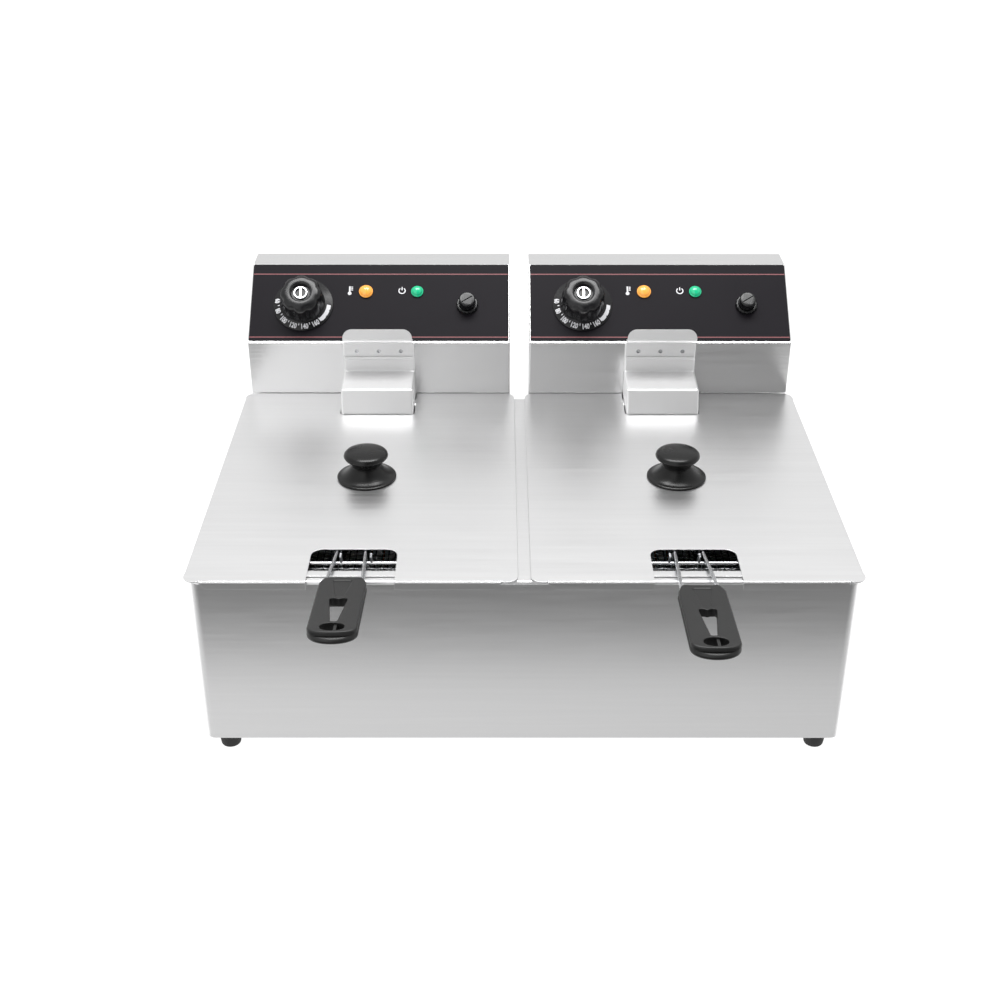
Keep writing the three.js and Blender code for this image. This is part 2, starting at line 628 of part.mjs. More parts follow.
// The handle's two rods and the loop that joins them are one bent wire.
function basketRods(side) {
  const grip = HANDLES[side];
  const reach = rodX(ROD_TURN_Y, grip);
  const footZ = rodZ(ROD_TURN_Y) - ROD_DROP;
  const heelY = BASKET_FRONT_Y + BASKET_WALL + CLEAR + ROD_R;
  const half = [
    rodInGrip(ROD_IN_GRIP, grip),
    rodInGrip(0, grip),
    [reach, ROD_TURN_Y, rodZ(ROD_TURN_Y)],
    [reach, ROD_TURN_Y, footZ],
    [reach, heelY, footZ - ROD_BEND_R]];
  return wire(mirrored(half), ROD_R, ROD_BEND_R, 6).translate([-HANDLE_SHIFT, 0, 0]);
}

// The grip, drawn flat with its rod end at y = 0 and its tail at -GRIP_L, then tilted onto the rods.
function basketGrip(side) {
  const half = GRIP_W / 2;
  const mouth = GRIP_MOUTH_W / 2;
  const outline = new THREE.Shape();
  outline.moveTo(-mouth, 0);
  outline.lineTo(-half, -GRIP_MOUTH_L);
  outline.lineTo(-half, GRIP_TAIL_R - GRIP_L);
  outline.absarc(GRIP_TAIL_R - half, GRIP_TAIL_R - GRIP_L, GRIP_TAIL_R, Math.PI, 1.5 * Math.PI);
  outline.absarc(half - GRIP_TAIL_R, GRIP_TAIL_R - GRIP_L, GRIP_TAIL_R, 1.5 * Math.PI, 2 * Math.PI);
  outline.lineTo(half, -GRIP_MOUTH_L);
  outline.lineTo(mouth, 0);
  const blank = pillow(outline, -GRIP_T / 2, GRIP_T / 2, GRIP_EDGE_R, 4, 1);
  const slotEnd = -GRIP_SLOT_START - GRIP_SLOT_L;
  const slot = slab(polygon([[-GRIP_SLOT_W_FRONT / 2, slotEnd], [GRIP_SLOT_W_FRONT / 2, slotEnd],
    [GRIP_SLOT_W_REAR / 2, -GRIP_SLOT_START], [-GRIP_SLOT_W_REAR / 2, -GRIP_SLOT_START]]), -GRIP_T, GRIP_T);
  const eyeY = GRIP_EYE_FROM_TAIL - GRIP_L;
  const eye = new THREE.CylinderGeometry(GRIP_EYE_W / 2, GRIP_EYE_W / 2, 2 * GRIP_T, 16)
    .rotateX(Math.PI / 2).scale(1, GRIP_EYE_L / GRIP_EYE_W, 1).translate(0, eyeY, 0);
  const webHalf = GRIP_T / 2 - GRIP_WEB_DROP;
  const webReach = GRIP_EYE_L / 2 + GRIP_WEB_DROP;
  const web = box(GRIP_WEB_X - GRIP_WEB_W / 2, GRIP_WEB_X + GRIP_WEB_W / 2,
    eyeY - webReach, eyeY + webReach, -webHalf, webHalf);
  const { mouthY, tilt } = HANDLES[side];
  const place = new THREE.Matrix4().makeRotationX(-tilt).setPosition(0, mouthY, rodZ(mouthY));
  const grip = union(without(blank, slot, solid(eye)), web).transform(place.elements);
  const [innerX, innerY, innerZ] = rodInGrip(ROD_IN_GRIP + CLEAR, HANDLES[side]);
  const [outerX, outerY, outerZ] = rodInGrip(-GRIP_EDGE_R, HANDLES[side]);
  const bores = [-1, 1].map((hand) => wire(
    [[hand * innerX, innerY, innerZ], [hand * outerX, outerY, outerZ]], ROD_R + CLEAR, 0));
  return without(grip, ...bores).translate([-HANDLE_SHIFT, 0, 0]);
}

// ---------- Heating element and sensors ----------

function heatingElement() {
  const outer = TANK_HALF_W - ELEMENT_SIDE_GAP;
  const front = TANK_FRONT_Y + ELEMENT_FRONT_GAP;
  const rear = LEG_Y - ELEMENT_REAR_Y;
  const half = [
    [ELEMENT_LEG_X, FACE_Y + ELEMENT_TAIL, LEG_TOP_Z],
    [ELEMENT_LEG_X, LEG_Y, LEG_TOP_Z],
    [ELEMENT_LEG_X, LEG_Y, ELEMENT_Z],
    [outer, LEG_Y, ELEMENT_Z],
    [outer, front, ELEMENT_Z],
    [ELEMENT_INNER_X, front, ELEMENT_Z],
    [ELEMENT_INNER_X, rear, ELEMENT_Z]];
  return wire(mirrored(half), ELEMENT_R, ELEMENT_BEND_R);
}

// Two bulbs on a clip under the middle runs; their capillaries follow the legs up into the head.
function sensorBulbs() {
  const tipY = TANK_FRONT_Y + ELEMENT_FRONT_GAP + BULB_FRONT_GAP;
  const tailY = tipY + BULB_LENGTH;
  const bulbZ = ELEMENT_Z - BULB_DROP;
  const lowZ = ELEMENT_Z - CAPILLARY_DROP;
  const slantY = tailY + CAPILLARY_STRAIGHT;
  const pieces = [-1, 1].flatMap((side) => [
    wire([[side * BULB_X, tipY, bulbZ], [side * BULB_X, tailY, bulbZ]], BULB_R, 0),
    wire([
      [side * BULB_X, tailY - CAPILLARY_START, bulbZ], [side * BULB_X, slantY, bulbZ],
      [side * CAPILLARY_X, slantY + CAPILLARY_SLANT, lowZ], [side * CAPILLARY_X, LEG_Y, lowZ],
      [side * CAPILLARY_X, LEG_Y, LEG_TOP_Z], [side * CAPILLARY_X, FACE_Y + CAPILLARY_TAIL, LEG_TOP_Z],
    ], CAPILLARY_R, CAPILLARY_BEND_R, 5, 2),
  ]);
  const clipTop = ELEMENT_Z - ELEMENT_R - CLEAR;
  const clipHalf = ELEMENT_INNER_X + ELEMENT_R;
  const clipY = tipY + BULB_LENGTH / 2;
  const saddleHalf = BULB_X + BULB_R;
  const strip = (halfWidth, top) => box(
    -halfWidth, halfWidth, clipY - CLIP_W / 2, clipY + CLIP_W / 2, clipTop - SHEET, top);
  return union(strip(clipHalf, clipTop), strip(saddleHalf, bulbZ), ...pieces);
}

// ---------- Head ----------

// Matrix that carries panel coordinates (u along X, v up the slope, w outward) to the head's frame.
const PANEL = new THREE.Matrix4().makeRotationX(PANEL_TILT).setPosition(0, PANEL_FOOT.x, PANEL_FOOT.y);
const onPanel = (shape) => shape.transform(PANEL.elements);

const CONTROL_HOLES = [
  [DIAL_U, DIAL_V, BUSH_R + PANEL_HOLE_GAP],
  [HEATING_LAMP_U, LAMP_V, LAMP_BODY_R + PANEL_HOLE_GAP],
  [POWER_LAMP_U, LAMP_V, LAMP_BODY_R + PANEL_HOLE_GAP],
  [RESET_U, RESET_V, RESET_NECK_R + PANEL_HOLE_GAP],
];

const controlHoles = (w0, w1) => CONTROL_HOLES.map(([u, v, radius]) => post(u, v, radius, w0, w1));

const HEAD_OUTLINE = [
  [FACE_Y, HEAD_BASE_Z], [PANEL_FOOT.x, PANEL_FOOT.y], [PANEL_HEAD.x, PANEL_HEAD.y],
  [HEAD_BACK_Y, HEAD_TOP_Z], [HEAD_BACK_Y, HEAD_BASE_Z]];

function headShell() {
  const tan = Math.tan(PANEL_TILT);
  const lift = SHEET / Math.cos(PANEL_TILT);
  const innerFootZ = PANEL_FOOT.y + SHEET * tan - lift;
  const innerHeadY = PANEL_FOOT.x + (HEAD_TOP_Z - SHEET - PANEL_FOOT.y + lift) / tan;
  const past = HEAD_BACK_Y + SHEET;
  const hollow = [
    [FACE_Y + SHEET, HEAD_BASE_Z - SHEET], [FACE_Y + SHEET, innerFootZ], [innerHeadY, HEAD_TOP_Z - SHEET],
    [past, HEAD_TOP_Z - SHEET], [past, HEAD_BASE_Z - SHEET]];
  const half = HEAD_W / 2;
  const shell = without(
    profileAlongX([...HEAD_OUTLINE].reverse(), -half, half),
    profileAlongX(hollow.reverse(), SHEET - half, half - SHEET));
  const legHoles = [-1, 1].map((side) => wire([
    [side * ELEMENT_LEG_X, FACE_Y - SHEET, LEG_TOP_Z], [side * ELEMENT_LEG_X, FACE_Y + 2 * SHEET, LEG_TOP_Z],
  ], ELEMENT_R + ELEMENT_HOLE_GAP, 0, 12));
  const capillaryHalf = CAPILLARY_X + 2 * CAPILLARY_R;
  const capillaryHole = box(-capillaryHalf, capillaryHalf, FACE_Y - SHEET, FACE_Y + 2 * SHEET,
    LEG_TOP_Z - 2 * CAPILLARY_R, LEG_TOP_Z + 2 * CAPILLARY_R);
  return without(shell, capillaryHole, ...legHoles, ...controlHoles(-2 * SHEET, SHEET).map(onPanel));
}

// Back and underside of the head, folded from one sheet and set between the shell's sides.
function headBackCover() {
  const half = HEAD_W / 2 - SHEET - CLEAR;
  const frontY = FACE_Y + SHEET + CLEAR;
  const middleY = HEAD_BACK_Y - SHEET / 2;
  const middleZ = HEAD_BASE_Z + SHEET / 2;
  const sheet = bentSheet([[frontY, middleZ], [middleY, middleZ], [middleY, HEAD_TOP_Z - SHEET - CLEAR]],
    SHEET, -half, half);
  const vents = [];
  for (const side of [-1, 1]) {
    for (let i = 0; i < VENT_COUNT; i++) {
      const z = HEAD_BASE_Z + VENT_FROM + i * VENT_PITCH;
      vents.push(box(side * VENT_X - VENT_L / 2, side * VENT_X + VENT_L / 2,
        HEAD_BACK_Y - 2 * SHEET, HEAD_BACK_Y + SHEET, z, z + VENT_W));
    }
  }
  const glandHole = post(
    GLAND_X, GLAND_Y, GLAND_NECK_R + PANEL_HOLE_GAP, HEAD_BASE_Z - SHEET, HEAD_BASE_Z + 2 * SHEET);
  return without(sheet, glandHole, ...vents);
}

function panelOverlay() {
  const half = HEAD_W / 2 - FILM_SIDE;
  const plan = roundedRect(-half, half, FILM_BOTTOM, PANEL_L - FILM_TOP, FILM_CORNER_R);
  return without(slab(plan, CLEAR, FILM_TOP_W, 1), ...controlHoles(0, ON_FILM));
}

function lobedOutline(radius) {
  const points = [];
  const count = DIAL_LOBES * 4;
  for (let i = 0; i < count; i++) {
    const angle = i * 2 * Math.PI / count;
    const r = radius - DIAL_LOBE_DEPTH / 2 + DIAL_LOBE_DEPTH / 2 * Math.cos(DIAL_LOBES * angle);
    points.push([r * Math.cos(angle), r * Math.sin(angle)]);
  }
  return polygon(points);
}

function thermostatDial() {
  const base = ON_FILM;
  const skirt = turned([
    [0, base], [DIAL_SKIRT_R - DIAL_EDGE, base], [DIAL_SKIRT_R, base + DIAL_EDGE],
    [DIAL_GRIP_R, base + DIAL_SKIRT_T], [0, base + DIAL_SKIRT_T]], 24);
  const grip = pillow(lobedOutline(DIAL_GRIP_R), base, base + DIAL_H, DIAL_GRIP_R - DIAL_GRIP_TOP_R, 1, 1);
  const bore = post(0, 0, SHAFT_R + CLEAR, 0, SHAFT_L + CLEAR);
  const recess = post(0, 0, BUSH_R + PANEL_HOLE_GAP, 0, base + CLEAR);
  return without(union(skirt, grip), bore, recess).translate([DIAL_U, DIAL_V, 0]);
}

// A control's housing behind the panel, its top face a clearance below the sheet.
function housing(u, v, [width, height, depth]) {
  const top = -SHEET - CLEAR;
  return box(u - width / 2, u + width / 2, v - height / 2, v + height / 2, top - depth, top);
}

function thermostat() {
  const bush = post(DIAL_U, DIAL_V, BUSH_R, -2 * SHEET, ON_FILM);
  const shaft = post(DIAL_U, DIAL_V, SHAFT_R, -2 * SHEET, SHAFT_L);
  return union(housing(DIAL_U, DIAL_V, THERMOSTAT), bush, shaft);
}

const RESET_NECK_TOP = ON_FILM + RESET_NUT_WEB;

function limiter() {
  const neck = post(RESET_U, RESET_V, RESET_NECK_R, -2 * SHEET, RESET_NECK_TOP);
  const guide = post(RESET_U, RESET_V, RESET_STEM_R + CLEAR, -RESET_GUIDE_DEPTH, RESET_NECK_TOP + CLEAR);
  return without(union(housing(RESET_U, RESET_V, LIMITER), neck), guide);
}

function resetNut() {
  const top = ON_FILM + RESET_NUT_H;
  const body = turned([
    [0, ON_FILM], [RESET_NUT_R, ON_FILM], [RESET_NUT_R, top - RESET_EDGE], [RESET_NUT_R - RESET_EDGE, top],
    [0, top]], 18);
  const bore = post(0, 0, RESET_NECK_R + PANEL_HOLE_GAP, 0, top);
  const recess = post(0, 0, RESET_CAP_R + RESET_RECESS_GAP, RESET_NECK_TOP, top + SHEET, 18);
  return without(body, bore, recess).translate([RESET_U, RESET_V, 0]);
}

function resetButton() {
  const under = RESET_NECK_TOP + CLEAR + RESET_TRAVEL;
  const top = under + RESET_CAP_H;
  const cap = turned([
    [0, under], [RESET_CAP_R, under], [RESET_CAP_R, top - RESET_EDGE], [RESET_CAP_R - RESET_EDGE, top],
    [0, top]], 18);
  const stem = post(0, 0, RESET_STEM_R, RESET_TRAVEL + CLEAR - RESET_GUIDE_DEPTH, under + RESET_EDGE);
  return union(cap, stem).translate([RESET_U, RESET_V, 0]);
}

function lamp(u, radius) {
  const profile = [[0, -LAMP_BODY_L], [LAMP_BODY_R, -LAMP_BODY_L], [LAMP_BODY_R, ON_FILM], [radius, ON_FILM]];
  for (let i = 0; i < LAMP_DOME_STEPS; i++) {
    const angle = i / LAMP_DOME_STEPS * Math.PI / 2;
    const rise = (LAMP_H - LAMP_COLLAR_H) * Math.sin(angle);
    profile.push([radius * Math.cos(angle), ON_FILM + LAMP_COLLAR_H + rise]);
  }
  profile.push([0, ON_FILM + LAMP_H]);
  return turned(profile, 14).translate([u, LAMP_V, 0]);
}

// The sheet cover over the element's legs: a riser on the head's face, a step forward, a slanted front and
// a wall that dips into the tank, closed by two side walls.
function elementShroud() {
  const riserY = FACE_Y - CLEAR - SHEET / 2;
  const frontY = SHROUD_FRONT_Y + SHEET / 2;
  const stepZ = SHROUD_TOP_Z - SHEET / 2;
  const corners = [
    [riserY, DECK_Z + RISER_H], [riserY, stepZ], [FACE_Y - SHROUD_STEP_L, stepZ - SHROUD_STEP_FALL],
    [frontY, LID_TOP_Z + SHROUD_KNEE_RISE], [frontY, DECK_Z - SHROUD_DIP]];
  const frontRadii = [SHROUD_CREASE_R, SHROUD_KNEE_R];
  const cover = bentSheet(corners, SHEET, -SHROUD_W / 2, SHROUD_W / 2, [SHROUD_HEEL_R, ...frontRadii], 4);
  const roof = rounded(corners.slice(1).map(([y, z]) => new THREE.Vector2(y, z)), frontRadii, 4);
  const wallFoot = LID_Z + CLEAR;
  const side = [
    ...roof.map(({ x, y }) => [x, y]),
    [SHROUD_BACK_Y, DECK_Z - SHROUD_DIP], [SHROUD_BACK_Y, wallFoot], [riserY, wallFoot]];
  const walls = [-SHROUD_W / 2, SHROUD_W / 2 - SHEET].map((x) => profileAlongX(side, x, x + SHEET));
  return union(cover, ...walls);
}

// The plate on the riser that ends in an upturned lip, where a basket hangs to drain.
function basketHanger() {
  const plateY = FACE_Y - 2 * CLEAR - SHEET - STRIP / 2;
  const lipY = plateY - HANGER_LEDGE;
  const ledgeZ = DECK_Z + HANGER_LEDGE_H;
  const corners = [
    [plateY, DECK_Z + HANGER_PLATE_FROM], [plateY, ledgeZ], [lipY, ledgeZ],
    [lipY + HANGER_LIP_LEAN, ledgeZ + HANGER_LIP_H]];
  const strip = bentSheet(corners, STRIP, -HANGER_W / 2, HANGER_W / 2, BEND_R, 3);
  const lipTop = ledgeZ + HANGER_LIP_H + STRIP;
  const front = lipY - 2 * STRIP;
  const outline = roundedRect(-HANGER_W / 2, HANGER_W / 2, DECK_Z - HANGER_LIP_H, lipTop, HANGER_CORNER_R);
  const stand = new THREE.Matrix4().makeRotationX(Math.PI / 2);
  const keep = slab(outline, -FACE_Y - STRIP, -front + STRIP).transform(stand.elements);
  return strip.intersect(keep);
}

const BRACKET_Y = BODY_D + CLEAR + STRIP / 2; // middle of the bracket's welded leg
const HOOK_Y = BRACKET_Y + STRIP + CLEAR;
const BRACKET_LIP_Y = HOOK_Y + STRIP + CLEAR;
const BRACKET_WEB_Z = DECK_Z - BRACKET_DROP;

// A pocket strip welded to the casing's back wall.
function headBracket() {
  return bentSheet([
    [BRACKET_Y, BRACKET_WEB_Z + BRACKET_BACK_H], [BRACKET_Y, BRACKET_WEB_Z],
    [BRACKET_LIP_Y, BRACKET_WEB_Z], [BRACKET_LIP_Y, BRACKET_WEB_Z + BRACKET_LIP_H],
  ], STRIP, -BRACKET_W / 2, BRACKET_W / 2, BRACKET_BEND_R, 2);
}

// The strip on the head's face that drops into the bracket.
function headHook() {
  const flangeY = FACE_Y - CLEAR - STRIP / 2;
  const jogZ = DECK_Z - HOOK_JOG_DROP;
  return bentSheet([
    [flangeY, DECK_Z - HOOK_FLANGE_TOP_DROP], [flangeY, jogZ], [HOOK_Y, jogZ - (flangeY - HOOK_Y)],
    [HOOK_Y, BRACKET_WEB_Z + STRIP / 2 + CLEAR],
  ], STRIP, -BRACKET_W / 2, BRACKET_W / 2, HOOK_BEND_R, 2);
}

function terminalBlock() {
  const [width, depth, height] = TERMINAL;
  const back = HEAD_BACK_Y - SHEET - TERMINAL_BACK_GAP;
  const front = back - depth;
  const base = HEAD_BASE_Z + SHEET + CLEAR;
  const top = base + height;
  const block = box(-width / 2, width / 2, front, back, base, top);
  const grooves = [];
  for (let i = 1; i < TERMINAL_POLES; i++) {
    const x = i * width / TERMINAL_POLES - (width + TERMINAL_GROOVE) / 2;
    grooves.push(box(x, x + TERMINAL_GROOVE, front - depth, back + depth, base + height / 2, top + height));
  }
  return without(block, ...grooves);
}

function microswitch() {
  const [width, depth, height] = SWITCH;
  const [buttonW, buttonD, buttonH] = SWITCH_BUTTON;
  const middle = FACE_Y + SHEET + CLEAR + depth / 2;
  const top = BRACKET_WEB_Z + height;
  const block = (halfW, halfD, z0, z1) => box(
    SWITCH_X - halfW, SWITCH_X + halfW, middle - halfD, middle + halfD, z0, z1);
  const button = block(buttonW / 2, buttonD / 2, top - buttonH, top + buttonH);
  return union(block(width / 2, depth / 2, BRACKET_WEB_Z, top), button);
}

// The cable gland through the head's underside; its bore stays open.
function cordGland() {
  const seat = HEAD_BASE_Z - CLEAR;
  const top = HEAD_BASE_Z + SHEET + GLAND_THREAD_L;
  const low = seat - GLAND_FLANGE_T;
  const end = low - GLAND_DOME_L;
  return turned([
    [GLAND_BORE_R, end], [GLAND_NECK_R - GLAND_TAPER, end], [GLAND_NECK_R + GLAND_TAPER, low],
    [GLAND_FLANGE_R, low], [GLAND_FLANGE_R, seat], [GLAND_NECK_R, seat], [GLAND_NECK_R, top],
    [GLAND_BORE_R, top], [GLAND_BORE_R, end],
  ], 16).translate([GLAND_X, GLAND_Y, 0]);
}

// ---------- Assembly ----------

function head(side) {
  const group = new THREE.Group();
  group.add(
    mesh(`head_shell_${side}`, headShell(), stainless),
    mesh(`head_back_cover_${side}`, headBackCover(), stainless),
    mesh(`element_shroud_${side}`, elementShroud(), stainless),
    mesh(`basket_hanger_${side}`, basketHanger(), stainless),
    mesh(`head_hook_${side}`, headHook(), stainless),
    mesh(`heating_element_${side}`, heatingElement(), incoloy),
    mesh(`sensor_bulbs_${side}`, sensorBulbs(), copper),
    mesh(`terminal_block_${side}`, terminalBlock(), ceramic),
    mesh(`microswitch_${side}`, microswitch(), black),
    mesh(`cord_gland_${side}`, cordGland(), black),
  );
  const panel = new THREE.Group();
  panel.applyMatrix4(PANEL);
  panel.add(
    mesh(`panel_overlay_${side}`, panelOverlay(), film),
    mesh(`thermostat_dial_${side}`, thermostatDial(), black),
    mesh(`thermostat_${side}`, thermostat(), ceramic),
    mesh(`limiter_${side}`, limiter(), ceramic),
    mesh(`reset_nut_${side}`, resetNut(), black),
    mesh(`reset_button_${side}`, resetButton(), black),
    mesh(`heating_lamp_${side}`, lamp(HEATING_LAMP_U, HEATING_LAMP_R), amber),
    mesh(`power_lamp_${side}`, lamp(POWER_LAMP_U, POWER_LAMP_R), green),
  );
  group.add(panel);
  return group;
}

function station(side, outward) {
  const group = new THREE.Group();
  group.position.x = outward * STATION_X;
  group.add(
    mesh(`oil_tank_${side}`, oilTank(), stainless),
    mesh(`lid_${side}`, lid(outward), stainless),
    mesh(`lid_knob_${side}`, lidKnob(), black),
    mesh(`lid_knob_screw_${side}`, lidKnobScrew(), chrome),
    mesh(`basket_${side}`, basket(side, outward), chrome),
    mesh(`basket_rods_${side}`, basketRods(side), chrome),
    mesh(`basket_grip_${side}`, basketGrip(side), black),
    mesh(`head_bracket_${side}`, headBracket(), stainless),
    head(side),
  );
  return group;
}

const fryer = new THREE.Group();
fryer.add(mesh('outer_casing', outerCasing(), stainless), mesh('bottom_plate', bottomPlate(), stainless));
for (const [end, y] of [['front', FOOT_INSET], ['rear', BODY_D - FOOT_INSET]]) {
  for (const [side, outward] of [['left', -1], ['right', 1]]) {
    fryer.add(mesh(`foot_${end}_${side}`, foot(outward * (BODY_W / 2 - FOOT_INSET), y), rubber));
  }
}
fryer.add(station('left', -1), station('right', 1));

const bounds = new THREE.Box3().setFromObject(fryer, true);
fryer.position.y = -(bounds.min.y + bounds.max.y) / 2;
fryer.updateMatrixWorld(true);

export default fryer;
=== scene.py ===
"""The looks of a double-tank electric deep fryer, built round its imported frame.

Shapes are drawn in millimetres: x from the middle of one fryer, y from the casing's front face and z from
the table. Controls are drawn on their head's sloped panel: u along it, v up it and w out of it.
"""

import math

import bmesh
import bpy
from bpy.props import FloatProperty, FloatVectorProperty, PointerProperty
from mathutils import Matrix, Vector


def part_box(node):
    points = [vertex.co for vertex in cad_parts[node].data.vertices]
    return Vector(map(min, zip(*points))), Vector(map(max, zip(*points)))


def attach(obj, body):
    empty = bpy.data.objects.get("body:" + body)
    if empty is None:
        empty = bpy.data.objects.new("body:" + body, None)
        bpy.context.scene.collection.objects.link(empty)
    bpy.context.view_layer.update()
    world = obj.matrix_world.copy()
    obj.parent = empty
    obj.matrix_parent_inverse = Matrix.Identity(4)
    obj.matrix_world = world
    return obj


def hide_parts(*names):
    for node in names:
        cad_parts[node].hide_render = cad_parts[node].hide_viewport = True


bl_info = {
    "name": "Double-tank deep fryer",
    "version": (1, 0, 0),
    "blender": (4, 5, 0),
    "location": "3D View > Sidebar > Fryer",
    "description": "Builds the visible pieces of a double-tank deep fryer round its frame",
    "category": "Add Mesh",
}

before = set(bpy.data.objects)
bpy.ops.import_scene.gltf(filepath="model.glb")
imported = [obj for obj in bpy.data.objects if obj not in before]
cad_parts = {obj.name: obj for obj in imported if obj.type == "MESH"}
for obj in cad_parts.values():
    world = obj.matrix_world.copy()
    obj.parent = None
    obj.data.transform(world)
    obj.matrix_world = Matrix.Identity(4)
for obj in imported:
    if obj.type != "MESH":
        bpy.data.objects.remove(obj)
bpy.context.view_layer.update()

MM = 0.001
SIDES = {"left": -1, "right": 1}


# ---------- Sizes, from the frame where it gives them ----------

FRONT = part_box("outer_casing")[0].y / MM


def limits(node):
    """A node's lowest and highest corners in millimetres, with y from the casing's front face."""
    low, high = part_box(node)
    front = Vector((0, FRONT, 0))
    return low / MM - front, high / MM - front


CASING_LOW, CASING_HIGH = limits("outer_casing")
LID_LOW, LID_HIGH = limits("lid_right")
TANK_LOW, TANK_HIGH = limits("oil_tank_right")
BASKET_LOW, BASKET_HIGH = limits("basket_right")
HEAD_LOW, HEAD_HIGH = limits("head_shell_right")
SHROUD_LOW, SHROUD_HIGH = limits("element_shroud_right")
FOOT_TOP = limits("foot_front_right")[1].z
KNOB_LOW, KNOB_HIGH = limits("lid_knob_right")

CLEAR = 0.3  # between pieces that touch
SHEET = 1
STRIP = 1.2
DECK_Z = CASING_HIGH.z
STATION_X = (KNOB_LOW.x + KNOB_HIGH.x) / 2
CASING_CORNER_R = 9
DECK_EDGE_R = 3

LID_TOP = LID_HIGH.z
LID_FRONT = LID_LOW.y
LID_BACK = LID_HIGH.y
LID_HALF = LID_HIGH.x - STATION_X
LID_CORNER_R = 9
LID_BEND_R = 1.6  # outside of its folds
LIP_DROP = 7.5
LIP_SETBACK = 13.5
LIP_RELIEF = 0.5
NOTCH_HALF = 35.7
NOTCH_BACK = LID_FRONT + 51
NOTCH_R = 10
SHROUD_NOTCH_GAP = 2.2
SHROUD_NOTCH_R = 5

RIM_TOP = TANK_HIGH.z
RIM_W = 11.5
TANK_HALF = TANK_HIGH.x - STATION_X - RIM_W
TANK_FRONT = TANK_LOW.y + RIM_W
TANK_BACK = TANK_HIGH.y - RIM_W
TANK_FLOOR = TANK_LOW.z + SHEET
TANK_CORNER_R = 28
TANK_FLOOR_R = 12
TANK_MOUTH_R = 4
DECK_OPENING_GAP = 2  # between the tank's inside and the deck's opening

FACE_Y = HEAD_LOW.y
HEAD_BACK = HEAD_HIGH.y
HEAD_BASE = HEAD_LOW.z
HEAD_TOP = HEAD_HIGH.z
HEAD_HALF = HEAD_HIGH.x - STATION_X
FACE_H = 57  # from the deck to the panel's foot
HEAD_ROOF_L = 31.8
PANEL_FOOT_Z = DECK_Z + FACE_H
PANEL_HEAD_Y = HEAD_BACK - HEAD_ROOF_L
PANEL_L = math.hypot(PANEL_HEAD_Y - FACE_Y, HEAD_TOP - PANEL_FOOT_Z)
PANEL_TILT = math.atan2(HEAD_TOP - PANEL_FOOT_Z, PANEL_HEAD_Y - FACE_Y)
PANEL = Matrix.Translation((0, FACE_Y, PANEL_FOOT_Z)) @ Matrix.Rotation(PANEL_TILT, 4, "X")
HEAD_BEND_R = 1.3
FILM_SIDE = 1.2  # from the panel's sides to the film
FILM_FOOT = 2.8
FILM_HEAD = 0.7
FILM_W = 0.8  # its face above the sheet
ON_FILM = FILM_W + CLEAR

SHROUD_HALF = SHROUD_HIGH.x - STATION_X
SHROUD_FRONT = SHROUD_LOW.y
SHROUD_TOP = DECK_Z + 27
SHROUD_STEP_L = 41.5  # from the head's face to the crease
SHROUD_STEP_FALL = 2
SHROUD_KNEE_Z = LID_TOP + 1.5
SHROUD_FOOT = SHROUD_LOW.z
SHROUD_BACK = TANK_BACK - 3
SHROUD_RADII = (3, 1.2, 4)  # of its heel, crease and knee, at the middle of the sheet
SHROUD_SIDE_R = 1.2
RISER_TOP = SHROUD_HIGH.z
LIP_LEAN = 1.8  # of the hanger, over the height of its lip
LIP_FOOT_R = 5
HEM_H = 3  # of the fold along the hanger's lower edge
LEDGE_H = 62.5  # of the hanger's ledge above the deck
WELD_PITCH = 22
WELD_RISE = 9  # above the hanger's lower edge
LEG_Y = (SHROUD_FRONT + SHROUD_BACK) / 2
ELEMENT_R = 4
ELEMENT_BEND_R = 16
ELEMENT_LEG_X = 20
ELEMENT_LOOP_X = 34  # its inner run, from the middle
ELEMENT_SETBACK = 62  # of the inner run's rear end from the legs
GLAND_PLACE = (85, (FACE_Y + HEAD_BACK) / 2)
GLAND_HOLE_R = 7.9
VENT_X = 60  # middle of each column of vents
VENT_HALF = 17
VENT_H = 4
VENT_PITCH = 12
VENTS_FROM = 50  # above the head's base

BASKET_WALL = 1.8
RIM_WIRE_R = 1.5
RIM_OUT = RIM_WIRE_R - BASKET_WALL / 2  # how far the rim wire stands out from the mesh
BASKET_HALF = BASKET_HIGH.x - STATION_X - RIM_OUT
BASKET_FRONT = BASKET_LOW.y + RIM_OUT
BASKET_BACK = BASKET_HIGH.y - RIM_OUT
BASKET_BASE = BASKET_LOW.z
RIM_UNDER_LID = 1.2
BASKET_RIM_TOP = LID_TOP - SHEET - RIM_UNDER_LID
BASKET_CORNER_R = 22
BASKET_FLOOR_R = 8
FLOOR_MARGIN = 4  # from the walls to the outermost floor wires
STANDING = 0.7  # a floor wire stands up where the wall faces it by at least this cosine
HOOK_R = 1.2
HOOK_RISE = 8
HOOK_SHIFT = 5.4  # each hook from its rod, towards the fryer's middle
ROD_R = 1.6
ROD_GAP = 22  # between the rods' middles where they turn down
ROD_SPREAD = 7  # added to it at the grip
ROD_DROP = 44  # from that turn down to the loop
ROD_BEND_R = 9
RIM_WIRE_Y = BASKET_FRONT + BASKET_WALL / 2
ROD_OVER_RIM = BASKET_RIM_TOP + CLEAR + ROD_R
ROD_SLOPE = (ROD_OVER_RIM - (LID_TOP - SHEET - CLEAR - ROD_R)) / (NOTCH_BACK - RIM_WIRE_Y)
HANDLE_TILT = math.atan(ROD_SLOPE)
ROD_TURN_Y = BASKET_FRONT + 34
ROD_IN_GRIP = 34
HANDLE_SHIFT = -3  # both handles, from their basket's middle
GRIP_MOUTH_Y = {"left": -14.7, "right": -28.8}
GRIP_TILT = {"left": HANDLE_TILT - math.radians(0.6), "right": HANDLE_TILT - math.radians(3.9)}

